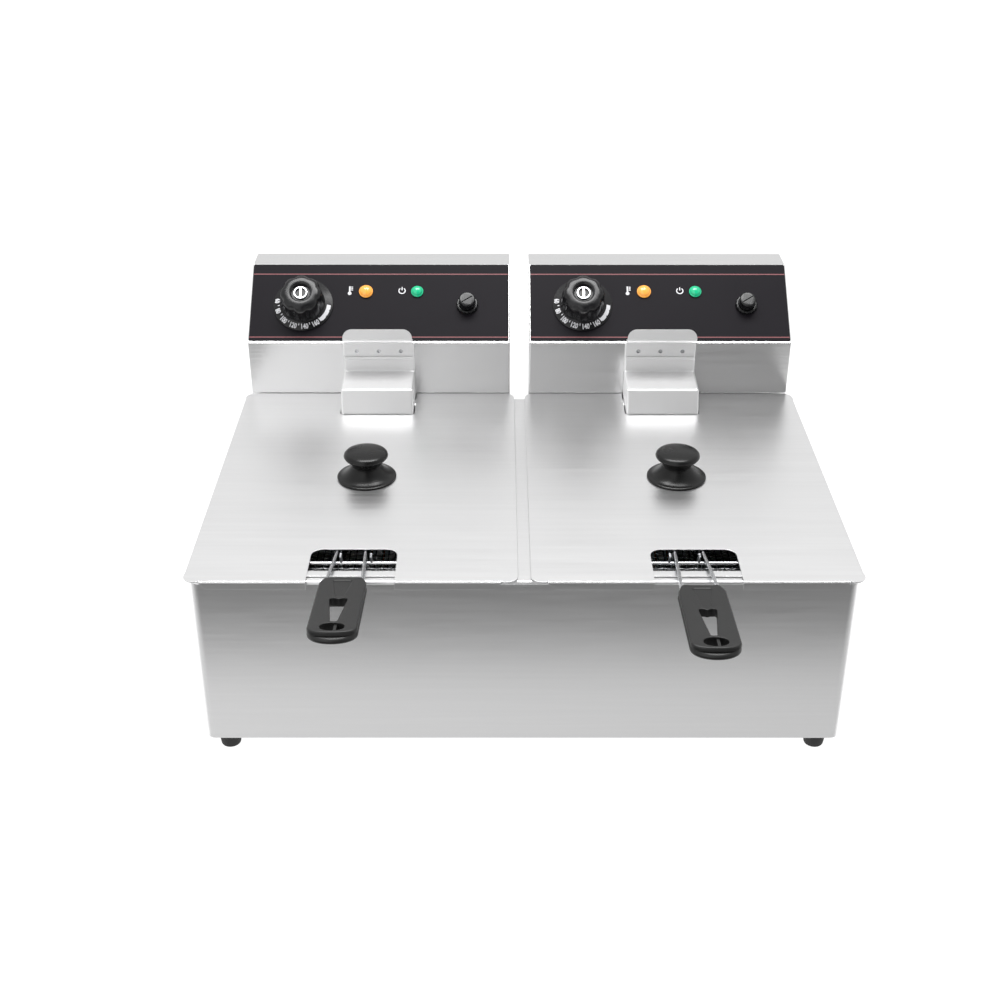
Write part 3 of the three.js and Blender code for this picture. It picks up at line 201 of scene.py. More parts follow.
CAMERA_PLACE = (-21.2, -996.2, 811.9)
CAMERA_PITCH = 90 - 29.32  # degrees, as the next two
CAMERA_YAW = -0.078
CAMERA_ROLL = 0.057
CAMERA_LENS = 52.7
CAMERA_SENSOR = 36
FLOOR_REACH = 9000
LIGHT_PLACE = (0, 0.25, 2.0)  # metres, as its size
LIGHT_SIZE = (1.4, 0.7)


# ---------- Settings that a user would change ----------


def length(name, description, default):
    """A length setting, given in millimetres."""
    return FloatProperty(name=name, description=description, default=default * MM, unit="LENGTH",
                         precision=4, min=0)


def tint(name, description, default):
    """A colour setting."""
    return FloatVectorProperty(name=name, description=description, default=default, subtype="COLOR",
                               min=0, max=1)


def share(name, description, default, top=1.0):
    """A plain number setting."""
    return FloatProperty(name=name, description=description, default=default, min=0, max=top)


class FryerSheetSettings(bpy.types.PropertyGroup):
    """Sizes and finish of the stainless sheet."""

    cut_edge: length("Cut edge", "Rounding of the sheet's cut edges", 0.3)
    wave_height: length("Sheet waviness", "Height of the slow waves in a flat sheet", 0.03)
    grain_spread: share("Grain spread", "How far the brushing tilts the reflections", 0.12)
    roughness: share("Roughness", "Roughness between the brush marks", 0.34)
    head_roughness: share("Head roughness", "Roughness of the heads' sheet", 0.24)
    head_spread: share("Head grain spread", "How far the brushing on the heads tilts the reflections", 0.08)
    satin: share("Satin roughness", "Roughness of the shrouds and hangers", 0.5)
    steel: tint("Steel", "Colour of the stainless sheet", (0.89, 0.89, 0.892))


class FryerWireSettings(bpy.types.PropertyGroup):
    """Sizes and finish of the baskets' wire."""

    mesh_pitch: length("Mesh pitch", "Distance between the woven wires", 6.3)
    mesh_wire: length("Mesh wire", "Diameter of the woven wires", 1.1)
    chrome: tint("Chrome", "Colour of the plated wire", (0.72, 0.73, 0.75))


class FryerPlasticSettings(bpy.types.PropertyGroup):
    """Colours of the moulded plastics."""

    knob: tint("Lid knob", "Colour of the lid knobs", (0.006, 0.006, 0.006))
    grip: tint("Basket grip", "Colour of the basket grips", (0.009, 0.009, 0.009))
    control: tint("Controls", "Colour of the dials and reset buttons", (0.008, 0.008, 0.009))


class FryerPanelSettings(bpy.types.PropertyGroup):
    """Colours and print of the control panels."""

    film: tint("Film", "Colour of the panel film", (0.0105, 0.009, 0.012))
    white_ink: tint("White ink", "Colour of the numbers and signs", (0.85, 0.85, 0.88))
    red_ink: tint("Red ink", "Colour of the two border lines", (0.25, 0.06, 0.07))
    amber: tint("Heating lamp", "Colour of the heating lamp's lens", (1.0, 0.42, 0.07))
    green: tint("Power lamp", "Colour of the power lamp's lens", (0.01, 0.5, 0.24))
    digit_height: length("Digit height", "Height of the numbers on the dial", 5.2)


class FryerStudioSettings(bpy.types.PropertyGroup):
    """Light round the fryer."""

    world: share("Surroundings", "Brightness of the white surroundings", 0.76, 10.0)
    overhead: share("Overhead light", "Power of the soft light above, in watts", 32.0, 500.0)
    floor: tint("Floor", "Colour of the floor", (0.2, 0.2, 0.2))


CARD_REACH = 1.6  # metres in front of the casing
CARD_GAP = -2  # from the casing's front face to the card
CARD_Z = 0.5
CARD_STOPS = [(0.0, 0.7), (0.07, 0.74), (0.1, 0.56), (0.125, 0.26), (0.145, 0.02), (0.2, 0.0), (0.25, 0.06),
              (0.4, 0.4)]  # (share of the reach, grey)
FRONT_STOPS = [(0.0, 1.5), (0.43, 1.5), (0.475, 1.0), (0.495, 0.05), (0.53, 0.0), (0.6, 0.06), (0.7, 0.25),
               (1.0, 0.6)]  # (left to right as 0 to 1, grey) of the surroundings in front


# ---------- Curves ----------


def arc(centre, radius, start, end, steps=8):
    """Points of an arc in a plane, both ends included; the angles are in degrees."""
    turns = [math.radians(start + (end - start) * i / steps) for i in range(steps + 1)]
    return [(centre[0] + radius * math.cos(a), centre[1] + radius * math.sin(a)) for a in turns]


def round_rect(x0, x1, y0, y1, radius, steps=8):
    """A rectangle with round corners, counter-clockwise."""
    corners = [(x1 - radius, y0 + radius), (x1 - radius, y1 - radius),
               (x0 + radius, y1 - radius), (x0 + radius, y0 + radius)]
    return [point for i, corner in enumerate(corners)
            for point in arc(corner, radius, 90 * i - 90, 90 * i, steps)]


def round_path(corners, radii, steps=6):
    """A path through corners, each but the first and last rounded by its radius."""
    points = [Vector(corner) for corner in corners]
    path = [points[0]]
    for i in range(1, len(points) - 1):
        radius = radii[i - 1] if isinstance(radii, (list, tuple)) else radii
        back = (points[i - 1] - points[i]).normalized()
        ahead = (points[i + 1] - points[i]).normalized()
        half = back.angle(ahead) / 2
        centre = points[i] + (back + ahead).normalized() * (radius / math.sin(half))
        first = points[i] + back * (radius / math.tan(half)) - centre
        last = points[i] + ahead * (radius / math.tan(half)) - centre
        sweep = math.pi - 2 * half
        for k in range(steps + 1):
            part = k / steps
            path.append(centre + (first * math.sin((1 - part) * sweep)
                                  + last * math.sin(part * sweep)) / math.sin(sweep))
    return path + [points[-1]]


def offset(points, distance, closed=True):
    """A plane line moved to the left of its own direction by a distance."""
    spots = [Vector(point) for point in points]
    moved = []
    for i, spot in enumerate(spots):
        back = spot - spots[i - 1] if closed or i else spots[1] - spot
        ahead = spots[(i + 1) % len(spots)] - spot if closed or i < len(spots) - 1 else back
        normals = [Vector((-way.y, way.x)).normalized() for way in (back, ahead)]
        moved.append(spot + (normals[0] + normals[1]) * (distance / (1 + normals[0].dot(normals[1]))))
    return moved


def level(points, z):
    """Plan points at a height."""
    return [(point[0], point[1], z) for point in points]


def quarter(steps):
    """Shares of a quarter turn, as (sine, 1 - cosine) pairs from 0 to 90 degrees."""
    turns = [math.pi / 2 * i / steps for i in range(steps + 1)]
    return [(math.sin(a), 1 - math.cos(a)) for a in turns]


# ---------- Meshes ----------


class Shape:
    """A mesh in the making, in millimetres."""

    def __init__(self):
        self.mesh = bmesh.new()

    def ring(self, points):
        """New corners at these points."""
        return [self.mesh.verts.new(point) for point in points]

    def band(self, first, second, closed=True):
        """Faces between two rows with as many corners each."""
        for i in range(len(first) if closed else len(first) - 1):
            j = (i + 1) % len(first)
            self.mesh.faces.new((first[i], first[j], second[j], second[i]))

    def bands(self, rows, closed=True):
        """Faces through rows of points or of corners, one after another; gives the rows of corners."""
        rings = [row if isinstance(row[0], bmesh.types.BMVert) else self.ring(row) for row in rows]
        for first, second in zip(rings, rings[1:]):
            self.band(first, second, closed)
        return rings

    def face(self, ring):
        """One flat face."""
        return self.mesh.faces.new(ring)

    def fill(self, *rings):
        """A flat face with holes, from its outline's corners and those of its holes."""
        edges = []
        for ring in rings:
            for first, second in zip(ring, ring[1:] + ring[:1]):
                edges.append(self.mesh.edges.get((first, second)) or self.mesh.edges.new((first, second)))
        bmesh.ops.triangle_fill(self.mesh, use_beauty=True, edges=edges)

    def tube(self, path, radius, sides=12, closed=False):
        """A round wire or tube along a path."""
        points = [Vector(point) for point in path]
        last = len(points) - 1
        normal = None
        rings = []
        for i, point in enumerate(points):
            ahead = points[(i + 1) % len(points)] if closed else points[min(i + 1, last)]
            along = (ahead - (points[i - 1] if closed or i else point)).normalized()
            normal = along.orthogonal() if normal is None else normal - along * normal.dot(along)
            normal.normalize()
            side = along.cross(normal)
            turns = [2 * math.pi * (k + 0.5) / sides for k in range(sides)]
            rings.append([point + (normal * math.cos(a) + side * math.sin(a)) * radius for a in turns])
        rows = self.bands(rings)
        if closed:
            self.band(rows[-1], rows[0])
        else:
            self.face(rows[0])
            self.face(rows[-1])

    def lathe(self, profile, sides=48, centre=(0, 0), radius_at=None):
        """A body turned about an upright line, from (radius, height) points; gives its rows of corners.

        radius_at(radius, height, angle) can change the radius round the turn.
        """
        rows = []
        for radius, height in profile:
            ring = []
            for k in range(sides if radius else 1):
                angle = 2 * math.pi * k / sides
                reach = radius_at(radius, height, angle) if radius_at else radius
                ring.append((centre[0] + reach * math.cos(angle), centre[1] + reach * math.sin(angle),
                             height))
            rows.append(self.ring(ring))
        for first, second in zip(rows, rows[1:]):
            if len(first) == len(second):
                self.band(first, second)
                continue
            tip, ring = (first[0], second) if len(first) == 1 else (second[0], first)
            for i, corner in enumerate(ring):
                self.face((tip, corner, ring[(i + 1) % len(ring)]))
        return rows

    def prism(self, outline, z0, z1, holes=()):
        """A plan outline raised from z0 to z1."""
        ends = []
        for z in (z0, z1):
            rings = [self.ring(level(line, z)) for line in (outline, *holes)]
            self.fill(*rings)
            ends.append(rings)
        for low, high in zip(*ends):
            self.band(low, high)

    def add(self, other, place):
        """Another shape or mesh, moved by a matrix."""
        data = other
        if isinstance(other, Shape):
            data = bpy.data.meshes.new("part")
            other.mesh.to_mesh(data)
            other.mesh.free()
        kept = set(self.mesh.verts)
        self.mesh.from_mesh(data)
        bpy.data.meshes.remove(data)
        fresh = [corner for corner in self.mesh.verts if corner not in kept]
        bmesh.ops.transform(self.mesh, matrix=place, verts=fresh)


def placed(flat, place):
    """The shape moved by a matrix, as a new one."""
    shape = Shape()
    shape.add(flat, place)
    return shape


def flat_object(name, shape, place):
    """The shape as an object at the origin, in metres."""
    bmesh.ops.remove_doubles(shape.mesh, verts=shape.mesh.verts, dist=0.001)
    bmesh.ops.recalc_face_normals(shape.mesh, faces=shape.mesh.faces)
    to_metres = Matrix.Diagonal((MM, MM, MM, 1)) @ Matrix.Translation((0, FRONT, 0)) @ place
    shape.mesh.transform(to_metres)
    data = bpy.data.meshes.new(name)
    shape.mesh.to_mesh(data)
    shape.mesh.free()
    piece = bpy.data.objects.new(name, data)
    bpy.context.scene.collection.objects.link(piece)
    return piece


def settle(piece):
    """Applies the piece's modifiers."""
    bpy.context.view_layer.update()
    whole = piece.evaluated_get(bpy.context.evaluated_depsgraph_get())
    data = bpy.data.meshes.new_from_object(whole)
    piece.modifiers.clear()
    piece.data = data


def add_piece(name, shape, finish, body, slot, *nodes, x=0, sheet=0, crease=40, centred=False):
    """Makes one visible piece: its mesh, its finish, and the body it moves with.

    sheet is the thickness given to a surface, whose cut edges are then rounded, and crease is the angle,
    in degrees, above which an edge is rounded or stays sharp.
    """
    piece = flat_object(name, shape, Matrix.Translation((x, 0, 0)))
    edge = bpy.context.scene.fryer_sheet.cut_edge if sheet else 0
    if sheet:
        thicken = piece.modifiers.new("thickness", "SOLIDIFY")
        thicken.thickness = sheet * MM
        thicken.offset = 0 if centred else -1
        thicken.use_even_offset = True
    if edge:
        soften = piece.modifiers.new("edges", "BEVEL")
        soften.width = edge
        soften.segments = 2
        soften.limit_method = "ANGLE"
        soften.angle_limit = math.radians(crease)
    if sheet:
        settle(piece)
    piece.data.shade_smooth()
    if not edge:
        piece.data.set_sharp_from_angle(angle=math.radians(crease))
    weigh = piece.modifiers.new("normals", "WEIGHTED_NORMAL")
    weigh.mode = "FACE_AREA"
    weigh.keep_sharp = True
    settle(piece)
    give_finish(piece, finish)
    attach(piece, body)
    if nodes:
        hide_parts(*nodes)
    return piece


def add_to(side, name, shape, finish, body, slot, *nodes, **options):
    """Adds a piece to one fryer; the side ends the names of the piece, its body and its nodes."""
    return add_piece(f"{name}_{side}", shape, finish, f"{body}_{side}", slot,
                     *[f"{node}_{side}" for node in nodes], x=SIDES[side] * STATION_X, **options)


def give_finish(piece, finish):
    """Gives a piece the material of that name."""
    piece.data.materials.clear()
    piece.data.materials.append(material(finish))


# ---------- Shader graphs ----------


class Socket:
    """A socket in a material's graph. Arithmetic on it adds Math nodes."""

    def __init__(self, graph, socket):
        self.graph = graph
        self.socket = socket

    def _math(self, operation, first, second):
        return self.graph.add("ShaderNodeMath", {"operation": operation}, {0: first, 1: second})

    def __add__(self, other):
        return self._math("ADD", self, other)

    __radd__ = __add__

    def __sub__(self, other):
        return self._math("SUBTRACT", self, other)

    def __rsub__(self, other):
        return self._math("SUBTRACT", other, self)

    def __mul__(self, other):
        return self._math("MULTIPLY", self, other)

    __rmul__ = __mul__

    def __gt__(self, other):
        return self._math("GREATER_THAN", self, other)

    def __abs__(self):
        return self._math("ABSOLUTE", self, 0)


class Graph:
    """The nodes of one material, or of the world."""

    def __init__(self, name, world=None):
        self.material = world or bpy.data.materials.new(name)
        self.material.use_nodes = True
        self.tree = self.material.node_tree
        self.tree.nodes.clear()

    def add(self, kind, settings=None, inputs=None, output=0):
        """A node of a kind, with its settings and its sockets' values or links; gives one output."""
        node = self.tree.nodes.new(kind)
        for key, value in (settings or {}).items():
            if key == "stops":
                ramp = node.color_ramp.elements
                while len(ramp) < len(value):
                    ramp.new(1)
                for stop, (position, color) in zip(ramp, value):
                    stop.position = position
                    stop.color = color
            else:
                setattr(node, key, value)
        for key, value in (inputs or {}).items():
            if isinstance(value, Socket):
                self.tree.links.new(value.socket, node.inputs[key])
            else:
                node.inputs[key].default_value = value
        return Socket(self, node.outputs[output])

    def vector(self, operation, first, second=(0, 0, 0)):
        """Vector Math on two vectors."""
        return self.add("ShaderNodeVectorMath", {"operation": operation}, {0: first, 1: second})

    def scaled(self, vector, factor):
        """A vector times a number."""
        return self.add("ShaderNodeVectorMath", {"operation": "SCALE"}, {0: vector, "Scale": factor})

    def joined(self, x, y, z):
        """A vector from three numbers."""
        return self.add("ShaderNodeCombineXYZ", {}, {0: x, 1: y, 2: z})

    def split(self, vector):
        """The three numbers of a vector."""
        node = self.add("ShaderNodeSeparateXYZ", {}, {0: vector}).socket.node
        return [Socket(self, output) for output in node.outputs]

    def mixed(self, factor, first, second):
        """A colour between two."""
        return self.add("ShaderNodeMix", {"data_type": "RGBA"}, {0: factor, 6: first, 7: second}, 2)

    def noise(self, vector, scale, detail=2.0, roughness=0.5):
        """Noise values over a vector."""
        return self.add("ShaderNodeTexNoise", {}, {
            "Vector": vector, "Scale": scale, "Detail": detail, "Roughness": roughness})

    def bump(self, height, distance, normal=None):
        """A normal from a height map; the distance is in millimetres."""
        inputs = {"Height": height, "Distance": distance * MM, "Strength": 1.0}
        if normal:
            inputs["Normal"] = normal
        return self.add("ShaderNodeBump", {}, inputs)

    def place(self):
        """The point on the piece, in metres."""
        return self.add("ShaderNodeTexCoord", {}, {}, "Object")

    def surface(self, **inputs):
        """The Principled surface of the material; gives the material."""
        named = {key.replace("_", " "): value for key, value in inputs.items()}
        return self.closed(self.add("ShaderNodeBsdfPrincipled", {}, named), "ShaderNodeOutputMaterial")

    def closed(self, shader, output):
        """The shader joined to an output node; gives the material or the world."""
        out = self.tree.nodes.new(output)
        self.tree.links.new(shader.socket, out.inputs["Surface"])
        return self.material

    def ramp(self, factor, stops):
        """A grey that changes with a number, from (number, grey) stops between 0 and 1."""
        colours = [(position, (grey, grey, grey, 1)) for position, grey in stops]
        return self.add("ShaderNodeValToRGB", {"stops": colours}, {0: factor})


MATERIALS = {}


def material(name):
    """The finish of that name, made on its first use."""
    if name not in MATERIALS:
        MATERIALS[name] = FINISHES[name]()
    return MATERIALS[name]


def rgb(colour, factor=1):
    """A colour with its alpha, made darker or lighter by a factor."""
    return (*(min(1, factor * part) for part in colour), 1.0)


GRAIN_SCALES = (2600.0, 22.0)  # of the brush marks' noise, across and along them
STREAK_WIDTH = 9  # of the broader streaks, in brush marks
STREAK_LENGTH = 3
HALF_SPREAD = 0.04  # of the steel's roughness, either way


def steel(graph, colour, marks, roughness, normal):
    """The surface of a stainless sheet whose roughness follows its marks."""
    return graph.surface(Base_Color=colour, Metallic=1.0, Normal=normal,
                         Roughness=marks * (2 * HALF_SPREAD) + (roughness - HALF_SPREAD))


def brushed(name, roughness, spread):
    """Stainless sheet brushed along X, or along Y on the faces that look sideways."""
    sheet = bpy.context.scene.fryer_sheet
    graph = Graph(name)
    x, y, z = graph.split(graph.place())
    normal = graph.add("ShaderNodeNewGeometry", {}, {}, "Normal")
    sideways = abs(graph.split(normal)[0]) > 0.7
    across, along = GRAIN_SCALES
    y_scale = across - (across - along) * sideways
    marks = graph.noise(graph.joined(x * along, y * y_scale, z * across), 1.0, 3.0, 0.6)
    wide, long = across / STREAK_WIDTH, along / STREAK_LENGTH
    streak_y = wide - (wide - long) * sideways
    streaks = graph.noise(graph.joined(x * long, y * streak_y, z * wide), 1.0)
    axis = graph.joined(1 - sideways, sideways, 0.0)
    tilt = graph.scaled(graph.vector("CROSS_PRODUCT", normal, axis), (marks - 0.5) * spread)
    tilted = graph.vector("NORMALIZE", graph.vector("ADD", normal, tilt))
    waves = graph.noise(graph.place(), 9.0, 1.0, 0.4)
    finish = graph.bump(waves, sheet.wave_height / MM, tilted)
    colour = graph.mixed(streaks, rgb(sheet.steel, 0.97), rgb(sheet.steel, 1.03))
    return steel(graph, colour, streaks, roughness, finish)


def brushed_steel():
    """Brushed sheet of the casing, the tanks and the lids."""
    sheet = bpy.context.scene.fryer_sheet
    return brushed("brushed_steel", sheet.roughness, sheet.grain_spread)


def head_steel():
    """Glossier brushed sheet of the heads."""
    sheet = bpy.context.scene.fryer_sheet
    return brushed("head_steel", sheet.head_roughness, sheet.head_spread)


def satin_steel():
    """Finely ground stainless sheet, duller than the brushed one."""
    sheet = bpy.context.scene.fryer_sheet
    graph = Graph("satin_steel")
    x, y, z = graph.split(graph.place())
    grain = graph.noise(graph.joined(x * 60, y * 3000, z * 3000), 1.0, 3.0, 0.6)
    waves = graph.noise(graph.place(), 12.0, 1.0, 0.4)
    colour = graph.mixed(grain, rgb(sheet.steel, 0.96), rgb(sheet.steel))
    finish = graph.bump(waves, sheet.wave_height / MM, graph.bump(grain, 0.004))
    return steel(graph, colour, grain, sheet.satin, finish)


def grained(name, dark, light, noise, roughness, bump=0, **inputs):
    """A finish whose colour, roughness and bumps follow one noise.

    noise holds its scale, detail and roughness; roughness holds the finish's least and how far it swings.
    """
    graph = Graph(name)
    grain = graph.noise(graph.place(), *noise)
    least, swing = roughness
    if bump:
        inputs["Normal"] = graph.bump(grain, bump)
    return graph.surface(Base_Color=graph.mixed(grain, dark, light), Roughness=grain * swing + least,
                         **inputs)


def chrome_wire():
    """Plated wire with faint drawing marks."""
    chrome = bpy.context.scene.fryer_wire.chrome
    return grained("chrome_wire", rgb(chrome, 0.85), rgb(chrome), (900.0,), (0.1, 0.16), 0.02,
                   Metallic=1.0)


def element_tube():
    """Heat-stained nickel alloy tube."""
    graph = Graph("element_tube")
    stains = graph.noise(graph.place(), 55.0, 4.0, 0.6)
    fine = graph.noise(graph.place(), 2200.0)
    colour = graph.mixed(stains, (0.11, 0.10, 0.09, 1), (0.24, 0.22, 0.19, 1))
    return graph.surface(Base_Color=colour, Metallic=1.0, Roughness=fine * 0.2 + 0.35,
                         Normal=graph.bump(fine, 0.03))


def copper():
    """Copper bulbs and capillaries, a little tarnished."""
    return grained("copper", (0.36, 0.17, 0.09, 1), (0.72, 0.38, 0.22, 1), (140.0, 3.0), (0.2, 0.2),
                   Metallic=1.0)


def ceramic():
    """Pale unglazed steatite."""
    return grained("ceramic", (0.62, 0.58, 0.5, 1), (0.78, 0.75, 0.68, 1), (1500.0, 3.0), (0.55, 0.2),
                   0.05)


def rubber():
    """Matt black rubber."""
    return grained("rubber", (0.006, 0.006, 0.006, 1), (0.018, 0.018, 0.018, 1), (1200.0, 3.0, 0.6),
                   (0.6, 0.2), 0.06)


def plastic(name, colour, roughness, grain_size, grain_height, shine=0.5):
    """Black moulded plastic with a fine grain."""
    graph = Graph(name)
    grain = graph.noise(graph.place(), 1 / (grain_size * MM), 3.0, 0.6)
    cloud = graph.noise(graph.place(), 40.0, 2.0)
    tone = graph.mixed(cloud, rgb(colour, 0.75), rgb(colour, 1.3))
    return graph.surface(Base_Color=tone, Roughness=cloud * 0.1 + (roughness - 0.05),
                         Specular_IOR_Level=shine, Normal=graph.bump(grain, grain_height))


def knob_plastic():
    """Glossy black phenolic of the lid knobs."""
    return plastic("knob_plastic", bpy.context.scene.fryer_plastic.knob, 0.28, 0.9, 0.008, 0.35)


def grip_plastic():
    """Grained black plastic of the basket grips."""
    return plastic("grip_plastic", bpy.context.scene.fryer_plastic.grip, 0.42, 0.5, 0.03)


def control_plastic():
    """Half-glossy black plastic of the dials and reset buttons."""
    return plastic("control_plastic", bpy.context.scene.fryer_plastic.control, 0.26, 0.6, 0.008, 0.4)


def panel_film():
    """Charcoal polyester film with a fine grain."""
    graph = Graph("panel_film")
    grain = graph.noise(graph.place(), 3000.0, 2.0)
    cloud = graph.noise(graph.place(), 25.0, 2.0)
    film = bpy.context.scene.fryer_panel.film
    colour = graph.mixed(cloud, rgb(film, 0.88), rgb(film, 1.12))
    return graph.surface(Base_Color=colour, Roughness=grain * 0.12 + 0.42, Specular_IOR_Level=0.08,
                         Normal=graph.bump(grain, 0.01))


def ink(name, colour):
    """Screen-printed ink, slightly uneven."""
    return grained(name, rgb(colour, 0.82), rgb(colour), (1800.0,), (0.4, 0.2))


def white_ink():
    """White ink."""
    return ink("white_ink", bpy.context.scene.fryer_panel.white_ink)


def red_ink():
    """Red ink."""
    return ink("red_ink", bpy.context.scene.fryer_panel.red_ink)


def lens(name, colour):
    """A lamp's plastic lens, lit from inside and ribbed."""
    graph = Graph(name)
    ribs = graph.noise(graph.place(), 700.0, 1.0)
    tone = graph.mixed(ribs, rgb(colour, 0.8), rgb(colour))
    return graph.surface(Base_Color=tone, Roughness=ribs * 0.1 + 0.14, Coat_Weight=0.6,
                         Emission_Color=tone, Emission_Strength=0.35, Normal=graph.bump(ribs, 0.06))


def amber_lens():
    """The heating lamp's lens."""
    return lens("amber_lens", bpy.context.scene.fryer_panel.amber)


def green_lens():
    """The power lamp's lens."""
    return lens("green_lens", bpy.context.scene.fryer_panel.green)


def floor_paint():
    """Plain white floor, lit so evenly that the fryer throws no shadow on it."""
    graph = Graph("floor_paint")
    cloud = graph.noise(graph.place(), 2.0, 2.0)
    pale = bpy.context.scene.fryer_studio.floor
    colour = graph.mixed(cloud, rgb(pale, 0.9), rgb(pale))
    return graph.surface(Base_Color=colour, Roughness=0.9, Emission_Color=(1, 1, 1, 1),
                         Emission_Strength=1.0)


def table_reflection():
    """What the casing's front mirrors: pale near the fryer, dark farther out, darker to the right."""
    graph = Graph("table_reflection")
    x, y, _ = graph.split(graph.place())
    away = (FRONT * MM - y) * (1 / CARD_REACH)
    pale = graph.ramp(away, CARD_STOPS)
    side = graph.ramp(x + 0.5, [(0.2, 1.0), (0.8, 0.86)])
    colour = graph.add("ShaderNodeMix", {"data_type": "RGBA", "blend_type": "MULTIPLY"},
                       {0: 1.0, 6: pale, 7: side}, 2)
    return graph.surface(Base_Color=(0, 0, 0, 1), Roughness=1.0, Specular_IOR_Level=0.0,
                         Emission_Color=colour, Emission_Strength=1.0)


FINISHES = {finish.__name__: finish for finish in (
    brushed_steel, head_steel, satin_steel, chrome_wire, element_tube, copper, ceramic, knob_plastic,
    grip_plastic, control_plastic, panel_film, white_ink, red_ink, amber_lens, green_lens, rubber,
    floor_paint, table_reflection)}


# ---------- Casing and feet ----------


def casing_shape():
    """The folded casing's outside, with the deck's two openings."""
    shape = Shape()

    def plan(inset):
        return round_rect(CASING_LOW.x + inset, CASING_HIGH.x - inset, inset, CASING_HIGH.y - inset,
                          CASING_CORNER_R - inset, 8)

    shoulder = DECK_Z - DECK_EDGE_R
    rows = [level(plan(0), CASING_LOW.z)]
    rows += [level(plan(DECK_EDGE_R * back), shoulder + DECK_EDGE_R * rise) for rise, back in quarter(5)]
    deck = shape.bands(rows)[-1]
    openings = []
    for side in SIDES.values():
        middle = side * STATION_X
        half = TANK_HALF + DECK_OPENING_GAP
        openings.append(shape.ring(level(round_rect(
            middle - half, middle + half, TANK_FRONT - DECK_OPENING_GAP, TANK_BACK + DECK_OPENING_GAP,
            TANK_CORNER_R + DECK_OPENING_GAP), DECK_Z)))
    shape.fill(deck, *openings)
    return shape


def foot_shape(x, y):
    """A moulded rubber foot with a rounded rim."""
    top = FOOT_TOP
    shape = Shape()
    shape.lathe([(0, 0.6), (3.4, 0.6), (3.8, 0), (7.2, 0), (8.1, 0.3), (8.5, 1.1), (8.9, 4),
                 (10.1, top - 3.2), (10.5, top - 1.8), (10.5, top - 0.5), (10.1, top), (0, top)],
                40, (x, y))
    return shape


# ---------- Tanks, lids and knobs ----------


def tank_shape():
    """The lift-out pan with its rim flange."""
    shape = Shape()

    def plan(grow, radius):
        return round_rect(-TANK_HALF - grow, TANK_HALF + grow, TANK_FRONT - grow, TANK_BACK + grow,
                          radius, 10)

    rows = [level(plan(RIM_W, TANK_CORNER_R), RIM_TOP)]
    for rise, back in quarter(5):
        grow = TANK_MOUTH_R * (1 - rise)
        rows.append(level(plan(grow, TANK_CORNER_R + grow), RIM_TOP - TANK_MOUTH_R * back))
    for rise, back in quarter(5):
        inset = TANK_FLOOR_R * back
        rows.append(level(plan(-inset, TANK_CORNER_R - inset), TANK_FLOOR + TANK_FLOOR_R * (1 - rise)))
    floor = shape.bands(rows)[-1]
    shape.face(floor)
    return shape


def lid_shape(outward):
    """The lid's upper surface: a plate, its two notches, the front lips and the outward side lip."""
    outline = []
    folds = []

    def lip(start, end):
        folds.append((len(outline), len(outline) + 1))
        outline.extend([start, end])

    front_end = LID_HALF - LIP_SETBACK
    fold_y = LID_FRONT + LID_BEND_R
    fold_x = LID_HALF - LID_BEND_R
    side_from = LID_FRONT + LIP_SETBACK
    side_to = LID_BACK - LIP_SETBACK
    gap = SHROUD_HALF + SHROUD_NOTCH_GAP
    notch_r = SHROUD_NOTCH_R
    gap_front = SHROUD_FRONT - SHROUD_NOTCH_GAP
    corner = LID_HALF - LID_CORNER_R

    outline.extend(arc((-corner, LID_FRONT + LID_CORNER_R), LID_CORNER_R, 180, 270))
    outline.extend([(-front_end - LIP_RELIEF, LID_FRONT), (-front_end - LIP_RELIEF, fold_y)])
    lip((-front_end, fold_y), (-NOTCH_HALF, fold_y))
    outline.extend(arc((NOTCH_R - NOTCH_HALF, NOTCH_BACK - NOTCH_R), NOTCH_R, 180, 90))
    outline.extend(arc((NOTCH_HALF - NOTCH_R, NOTCH_BACK - NOTCH_R), NOTCH_R, 90, 0))
    lip((NOTCH_HALF, fold_y), (front_end, fold_y))
    outline.extend([(front_end + LIP_RELIEF, fold_y), (front_end + LIP_RELIEF, LID_FRONT)])
    outline.extend(arc((corner, LID_FRONT + LID_CORNER_R), LID_CORNER_R, 270, 360))
    outline.extend([(LID_HALF, side_from - LIP_RELIEF), (fold_x, side_from - LIP_RELIEF)])
    lip((fold_x, side_from), (fold_x, side_to))
    outline.extend([(fold_x, side_to + LIP_RELIEF), (LID_HALF, side_to + LIP_RELIEF)])
    outline.extend(arc((corner, LID_BACK - LID_CORNER_R), LID_CORNER_R, 0, 90))
    outline.append((gap, LID_BACK))
    outline.extend(arc((gap - notch_r, gap_front + notch_r), notch_r, 0, -90, 5))
    outline.extend(arc((notch_r - gap, gap_front + notch_r), notch_r, -90, -180, 5))
    outline.append((-gap, LID_BACK))
    outline.extend(arc((-corner, LID_BACK - LID_CORNER_R), LID_CORNER_R, 90, 180))

    shape = Shape()
    front = Vector((0, -1, 0))
    ring = shape.ring(level([(outward * x, y) for x, y in outline], LID_TOP))
    shape.face(ring)
    for (start, end), away in zip(folds, (front, front, Vector((outward, 0, 0)))):
        edge = [ring[start], ring[end]]
        along = (edge[1].co - edge[0].co).normalized()
        free = [abs(corner.co.x) > NOTCH_HALF + 1 for corner in edge]
        rows = [edge]
        for rise, back in quarter(5)[1:]:
            shift = away * (LID_BEND_R * rise) - Vector((0, 0, LID_BEND_R * back))
            rows.append([corner.co + shift for corner in edge])
        slant = LIP_DROP - LID_BEND_R
        low = [corner.co + away * LID_BEND_R - Vector((0, 0, LIP_DROP)) for corner in edge]
        low[0] = low[0] + along * (slant if free[0] else 0)
        low[1] = low[1] - along * (slant if free[1] else 0)
        rows.append(low)
        shape.bands(rows, closed=False)
    return shape


